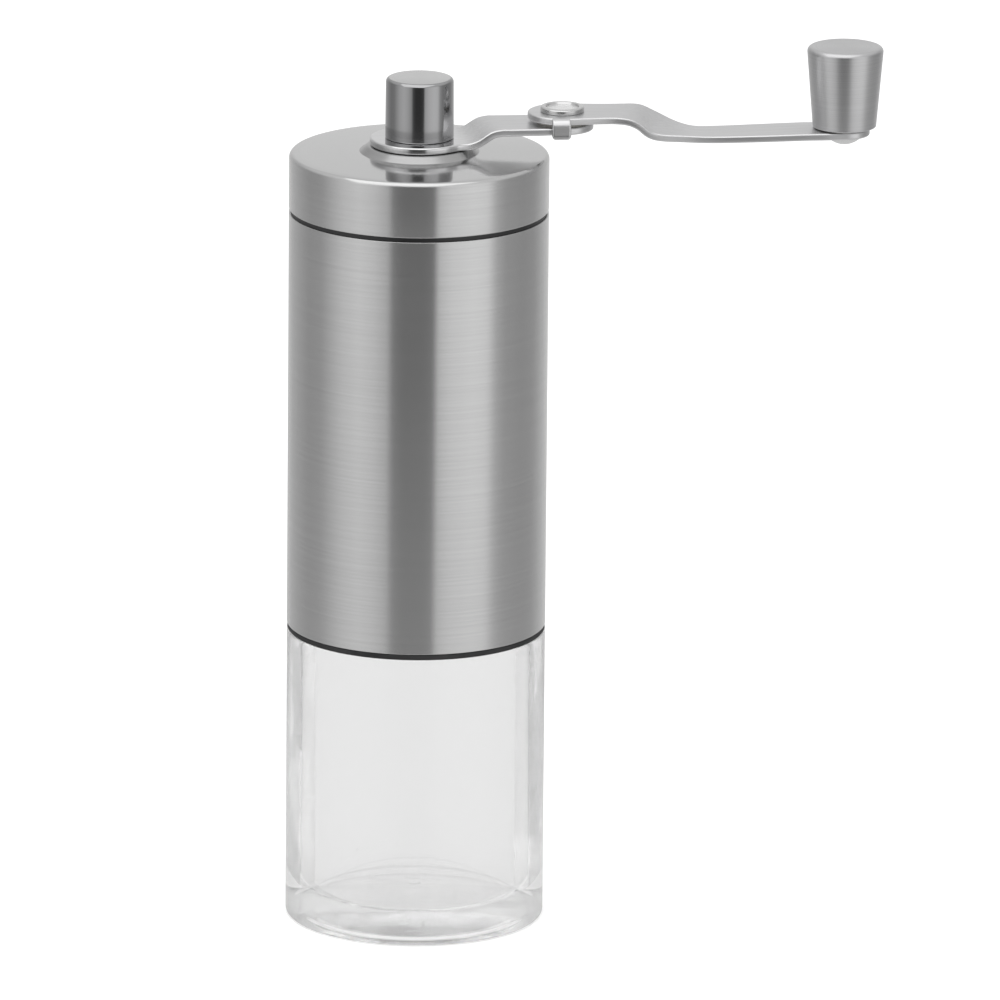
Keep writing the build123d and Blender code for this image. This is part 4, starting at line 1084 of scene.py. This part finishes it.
def stamped(name, sides, place, thickness, across=6):
    """A stamped strip with rounded edges. It is given by its half width at stations along it,
    which are nought at both ends, and by the place of a point at a length, a width and a depth.
    Its flat faces are some faces across."""
    count = len(sides) - 1
    loop = [Vector(side) for side in sides] + [Vector((x, -y)) for x, y in reversed(sides[1:-1])]
    outwards = []
    for index in range(len(loop)):
        along = loop[(index + 1) % len(loop)] - loop[index - 1]
        outwards.append(Vector((-along.y, along.x)).normalized())
    half_round = [math.pi / 2 * step / arm_ring_steps for step in range(arm_ring_steps + 1)]
    upper = [(tumbled_edge * (1 - math.sin(a)), tumbled_edge * (1 - math.cos(a))) for a in half_round]
    upper.insert(0, (1.3 * tumbled_edge, 0.0))
    rings = upper + [(inset, thickness - depth) for inset, depth in reversed(upper)]
    plans = [[point - outward * inset for point, outward in zip(loop, outwards)] for inset, depth in rings]
    points = [place(*at, depth) for plan, (inset, depth) in zip(plans, rings) for at in plan]
    faces = []
    size = len(loop)
    for low in range(0, size * (len(rings) - 1), size):
        for index in range(size):
            beside = (index + 1) % size
            faces.append((low + index, low + beside, low + size + beside, low + size + index))
    for ring in (0, len(rings) - 1):
        rows = []
        for index in range(count + 1):
            other = (size - index) % size
            row = [ring * size + index]
            if index != other:
                for step in range(1, across):
                    row.append(len(points))
                    middle = plans[ring][index].lerp(plans[ring][other], step / across)
                    points.append(place(*middle, rings[ring][1]))
                row.append(ring * size + other)
            rows.append(row)
        for row, after in zip(rows, rows[1:]):
            if len(row) == len(after):
                faces.extend((row[k], row[k + 1], after[k + 1], after[k]) for k in range(across))
            else:
                lone, many = sorted((row, after), key=len)
                faces.extend((lone[0], many[k], many[k + 1]) for k in range(across))
    mesh = bpy.data.meshes.new(name)
    mesh.from_pydata(points, [], faces)
    finish_mesh(mesh)
    return placed(name, mesh)


def end_round(centre, radius, start, end, steps):
    """Half widths round an end of a strip, between two angles from its own length."""
    sides = []
    for step in range(steps + 1):
        angle = math.radians(start + (end - start) * step / steps)
        sides.append((centre + radius * math.cos(angle), radius * math.sin(angle)))
    return sides


def bent(near_line, far_line, half_width):
    """The place of a point of a strip whose near and far edges climb along lines of their own."""
    def place(x, y, depth):
        near, near_slope = through(near_line, x)
        far, far_slope = through(far_line, x)
        share = min(1.0, max(0.0, 0.5 + 0.5 * y / half_width))
        slope = near_slope + (far_slope - near_slope) * share
        length = math.sqrt(1 + slope * slope)
        return (x + depth * slope / length, y, near + (far - near) * share - depth / length)
    return place


def folded_down(length, width, depth):
    """The place of a point of the tab: level at first, then round a bend, then straight down."""
    turn = min(max(length / tab_bend, 0.0), math.pi / 2)
    arm = tab_bend - depth
    out = tab_reach - tab_bend + min(length, 0.0) + arm * math.sin(turn)
    drop = tab_bend - arm * math.cos(turn) + max(length - tab_bend * math.pi / 2, 0.0)
    return (tab_x + width, -out, outer_high.z - 0.01 * mm - drop)


def hole(x, radius):
    """A bar that cuts an upright hole through the arms, a press fit for what goes in."""
    bar = round_bar(radius + press_gap, inner_low.z - mm, outer_high.z + mm, 64)
    bar.data.transform(Matrix.Translation((x, 0, 0)))
    return bar


def edge_line(*points):
    """A line of (place, level, rise above the level) points, with places and rises in millimetres."""
    return [(x * mm, level + rise * mm) for x, level, rise in points]


hub_flat, inner_flat = inner_low.z + strip, inner_high.z
inner_near = edge_line(
    (-12, hub_flat, 0), (8.4, hub_flat, 0), (9.8, hub_flat, 0.03), (11.6, hub_flat, 0.6),
    (14.4, inner_flat, -0.5), (16.6, inner_flat, 0), (18, inner_flat, 0), (40, inner_flat, 0),
)
inner_far = edge_line(
    (-12, hub_flat, 0), (6.6, hub_flat, 0), (8, hub_flat, 0.03), (9.7, hub_flat, 0.6),
    (12.5, inner_flat, -0.5), (14.7, inner_flat, 0), (16, inner_flat, 0), (40, inner_flat, 0),
)
high, low, tip = outer_high.z, outer_high.z - 4.9 * mm, outer_high.z - 4.45 * mm
outer_near = edge_line(
    (20, high, 0), (37, high, -0.05), (42.6, high, -0.4), (45.4, high, -1.5),
    (47.6, low, 1.6), (49.8, low, 0.9), (54, low, 0.58), (61, low, 0.25), (70, low, 0.28),
    (80, tip, 0), (84, tip, 0), (96, tip, 0),
)
outer_far = edge_line(
    (20, high, 0), (43, high, 0), (46.6, high, -0.2), (49.6, high, -1.5),
    (54, low, 1.2), (57.4, low, 0.15), (61, low, 0), (70, low, 0.2),
    (80, tip, 0), (84, tip, 0), (96, tip, 0),
)

neck_angle = 51.6
neck_start = 6.4 * mm
neck_step = 0.53 * mm
inner_end = 6.5 * mm
inner_width = [
    (neck_start, 8.07 * mm), (7.7 * mm, 7.3 * mm), (9.2 * mm, 6.93 * mm), (12 * mm, 6.75 * mm),
    (rivet_x, inner_end),
]
inner_sides = end_round(0, hub_plate_radius, 180, neck_angle, 26)
for step in range(1, 44):
    x = neck_start + neck_step * step
    inner_sides.append((x, through(inner_width, x)[0]))
inner_sides += end_round(rivet_x, inner_end, 90, 0, 18)
hub_arm = stamped("hub_arm", inner_sides, bent(inner_near, inner_far, half_width=6.8 * mm), strip)
cut_away(hub_arm, [hole(0, spigot_radius), hole(rivet_x, rivet_radius)])

outer_end = 7.2 * mm
tip_end = 5.3 * mm
outer_width = [
    (rivet_x, outer_end), (38.7 * mm, 6.2 * mm), (45.7 * mm, 6.2 * mm), (57.7 * mm, 5.5 * mm),
    (83.6 * mm, 5.5 * mm), (crank_end, tip_end),
]
outer_stations = 98
outer_sides = end_round(rivet_x, outer_end, 180, 90, 20)
for step in range(1, outer_stations):
    x = rivet_x + (crank_end - rivet_x) * step / outer_stations
    outer_sides.append((x, through(outer_width, x)[0]))
outer_sides += end_round(crank_end, tip_end, 90, 0, 16)
folding_arm = stamped("folding_arm", outer_sides, bent(outer_near, outer_far, half_width=6.0 * mm), strip)

tab_length = tab_bend * math.pi / 2 + outer_high.z - tab_foot - tab_bend
tab_sides = [(-2 * mm, 0), (-1.98 * mm, 0.9 * tab_half), (-1.9 * mm, tab_half)]
for step in range(23):
    tab_sides.append((-1.8 * mm + (tab_length + mm) * step / 22, tab_half))
tab_sides += [
    (tab_length - tab_corner + across, tab_half - tab_corner + up)
    for across, up in end_round(0, tab_corner, 90, 0, 6)
]
tab_sides.append((tab_length, 0))
tab = stamped("tab", tab_sides, folded_down, strip - 0.02 * mm)
cut_away(folding_arm, [tab], "UNION")
cut_away(folding_arm, [hole(rivet_x, rivet_radius), hole(crank_end, pin_radius)])


def satin_steel():
    """Satin steel brushed along the arm, a little cloudy, with rubbed marks that cross the grain,
    and polished round the axis, where the cap stands on it."""
    made, tree, place = material("satin_steel")
    grain = noise(tree, place, (45, 3200, 3200), 4.0)
    clouds = noise(tree, place, (120, 160, 160), 3.0)
    rubs = noise(tree, place, (700, 2400, 2400), 2.0)
    along = add(tree, "ShaderNodeTangent", direction_type="RADIAL", axis="Y")
    polish = between(tree, reach(tree, split(tree, place)), 0.3, 1.0, hub_polish, hub_polish_end)
    gloss = maths(tree, "MULTIPLY", between(tree, clouds, 0.285, 0.36), polish)
    surfaced(tree, {
        "Base Color": blended(tree, between(tree, grain, 0.0, 1.0), (0.66, 0.66, 0.665), (0.75, 0.75, 0.755)),
        "Metallic": 1.0, "Roughness": gloss,
        "Anisotropic": 0.4, "Anisotropic Rotation": 0.25, "Tangent": along.outputs[0],
        "Normal": bumps(tree, maths(tree, "ADD", grain, maths(tree, "MULTIPLY", rubs, 0.5)), 0.005 * mm),
    })
    return made


def white_nylon():
    """Natural nylon: milky, waxy, a little yellow."""
    tones = (0.66, 0.64, 0.58), (0.72, 0.70, 0.65)
    depths = {"Subsurface Weight": 0.2, "Subsurface Radius": (1.0, 0.9, 0.8), "Subsurface Scale": 0.5 * mm}
    return mottled("white_nylon", (300,), tones, (0.35, 0.48), (1800,), 0.006 * mm, **depths)


satin = satin_steel()
nylon = white_nylon()
fit_piece(hub_arm, satin, "crank", "satin_steel", "inner_arm")
fit_piece(folding_arm, satin, "crank_arm", "satin_steel", "outer_arm")
dress(nylon, "fold_washer")

# ---------------- fold rivet
# Solid rivet with a broad dished head, the pivot of the folding arm. Its plain end is
# rolled over under the inner arm.
rivet_head = rivet_high.x - rivet_x
rivet_dish = 3.2 * mm
rivet_seat = outer_high.z + face_gap
rivet_floor = rivet_seat + 0.62 * mm
rivet_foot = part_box("fold_washer")[0].z - strip - press_gap
rivet_outline = rounded([
    (0, rivet_low.z, 0),
    (2.8 * mm, rivet_low.z, 0.5 * mm),
    (3.8 * mm, rivet_foot, 0.15 * mm),
    (rivet_radius, rivet_foot, 0),
    (rivet_radius, rivet_seat, 0),
    (rivet_head, rivet_seat, 0.08 * mm),
    (rivet_head, rivet_high.z - 0.05 * mm, 0.4 * mm),
    (rivet_dish + 0.3 * mm, rivet_high.z, 0.2 * mm),
    (rivet_dish, rivet_floor, 0.25 * mm),
    (0, rivet_floor, 0),
])
arm_rivet = turned("arm_rivet", rivet_outline, steps=128, axis_x=rivet_x)
rivet_steel = turned_metal(
    "rivet_steel", (0.64,) * 3, (0.2, 0.2), 5000, axis_x=rivet_x, pull=0.3, depth=0.001 * mm,
)
# The dish floor gets a near-white tone: a painted highlight for the bright light that the dish reflects.
painted_dish_highlight = turned_metal(
    "rivet_dish_highlight", (0.92,) * 3, (0.22, 0.22), 5000, axis_x=rivet_x, pull=0.0, depth=0.002 * mm,
)
fit_piece(arm_rivet, rivet_steel, "crank", "polished_steel", "fold_rivet")


def in_dish(face):
    """Whether a face of the rivet is the flat floor of its dish."""
    return face.normal.z > 0.9 and abs(face.center.z - rivet_floor) < 0.02 * mm


# The flat floor of the dish takes the painted highlight.
face_finish(arm_rivet, painted_dish_highlight, in_dish)

# ---------------- knob and its pin
# The pin is riveted through the arm's tip and has a domed head below. The knob is turned
# from bar, wider at the top, and spins on a nylon sleeve that snaps over the pin.
pin_low, pin_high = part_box("knob_pin")
knob_low, knob_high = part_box("knob")
knob_x = (knob_low.x + knob_high.x) / 2
pin_head = pin_high.x - knob_x + 0.45 * mm
pin_head_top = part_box("knob_washer")[0].z - strip - 2 * press_gap
dome_height = pin_head_top - pin_low.z
dome_radius = (pin_head ** 2 + dome_height ** 2) / (2 * dome_height)
dome_sweep = math.asin(pin_head / dome_radius)
snap_low = knob_high.z - 6.0 * mm
sleeve_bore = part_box("knob_sleeve")[1]
knob_base_radius = 6.6 * mm
knob_radius = knob_high.x - knob_x

dome = []
for step in range(11):
    angle = dome_sweep * step / 10
    dome.append(Vector((dome_radius * math.sin(angle), pin_low.z + dome_radius * (1 - math.cos(angle)))))
pin_outline = dome + rounded([
    (pin_radius, pin_head_top, 0),
    (pin_radius, snap_low, 0),
    (pin_radius + 0.4 * mm, snap_low + 0.5 * mm, 0.1 * mm),
    (pin_radius - 0.4 * mm, pin_high.z, 0.1 * mm),
    (0, pin_high.z, 0),
], steps=3)
crank_pin = turned("crank_pin", pin_outline, steps=96, axis_x=knob_x)
# The pin's tone is raised well above plain steel's: a painted highlight on its domed head.
pin_painted_highlight = turned_metal(
    "pin_painted_highlight", (0.82,) * 3, (0.24, 0.24), 5000, axis_x=knob_x, pull=0.2, depth=0.001 * mm,
)
fit_piece(crank_pin, pin_painted_highlight, "crank_arm", "polished_steel", "knob_pin")
dress(nylon, "knob_washer", "knob_sleeve")
bore_radius = sleeve_bore.x - knob_x + press_gap
bore_top = sleeve_bore.z + slip
knob_outline = rounded([
    (bore_radius, knob_low.z, 0.1 * mm),
    (knob_base_radius, knob_low.z, 0.3 * mm),
    (knob_radius, knob_high.z, 1.0 * mm),
    (0, knob_high.z, 0),
    (0, bore_top, 0),
    (bore_radius, bore_top, 0),
], steps=8)
crank_knob = turned("crank_knob", knob_outline, steps=192, axis_x=knob_x)
turned_steel = turned_metal(
    "turned_steel", (0.60, 0.60, 0.605), (0.34, 0.34), 4200, axis_x=knob_x, pull=0.5, depth=0.002 * mm,
)
fit_piece(crank_knob, turned_steel, "knob", "turned_steel", "knob")

bpy.context.view_layer.update()
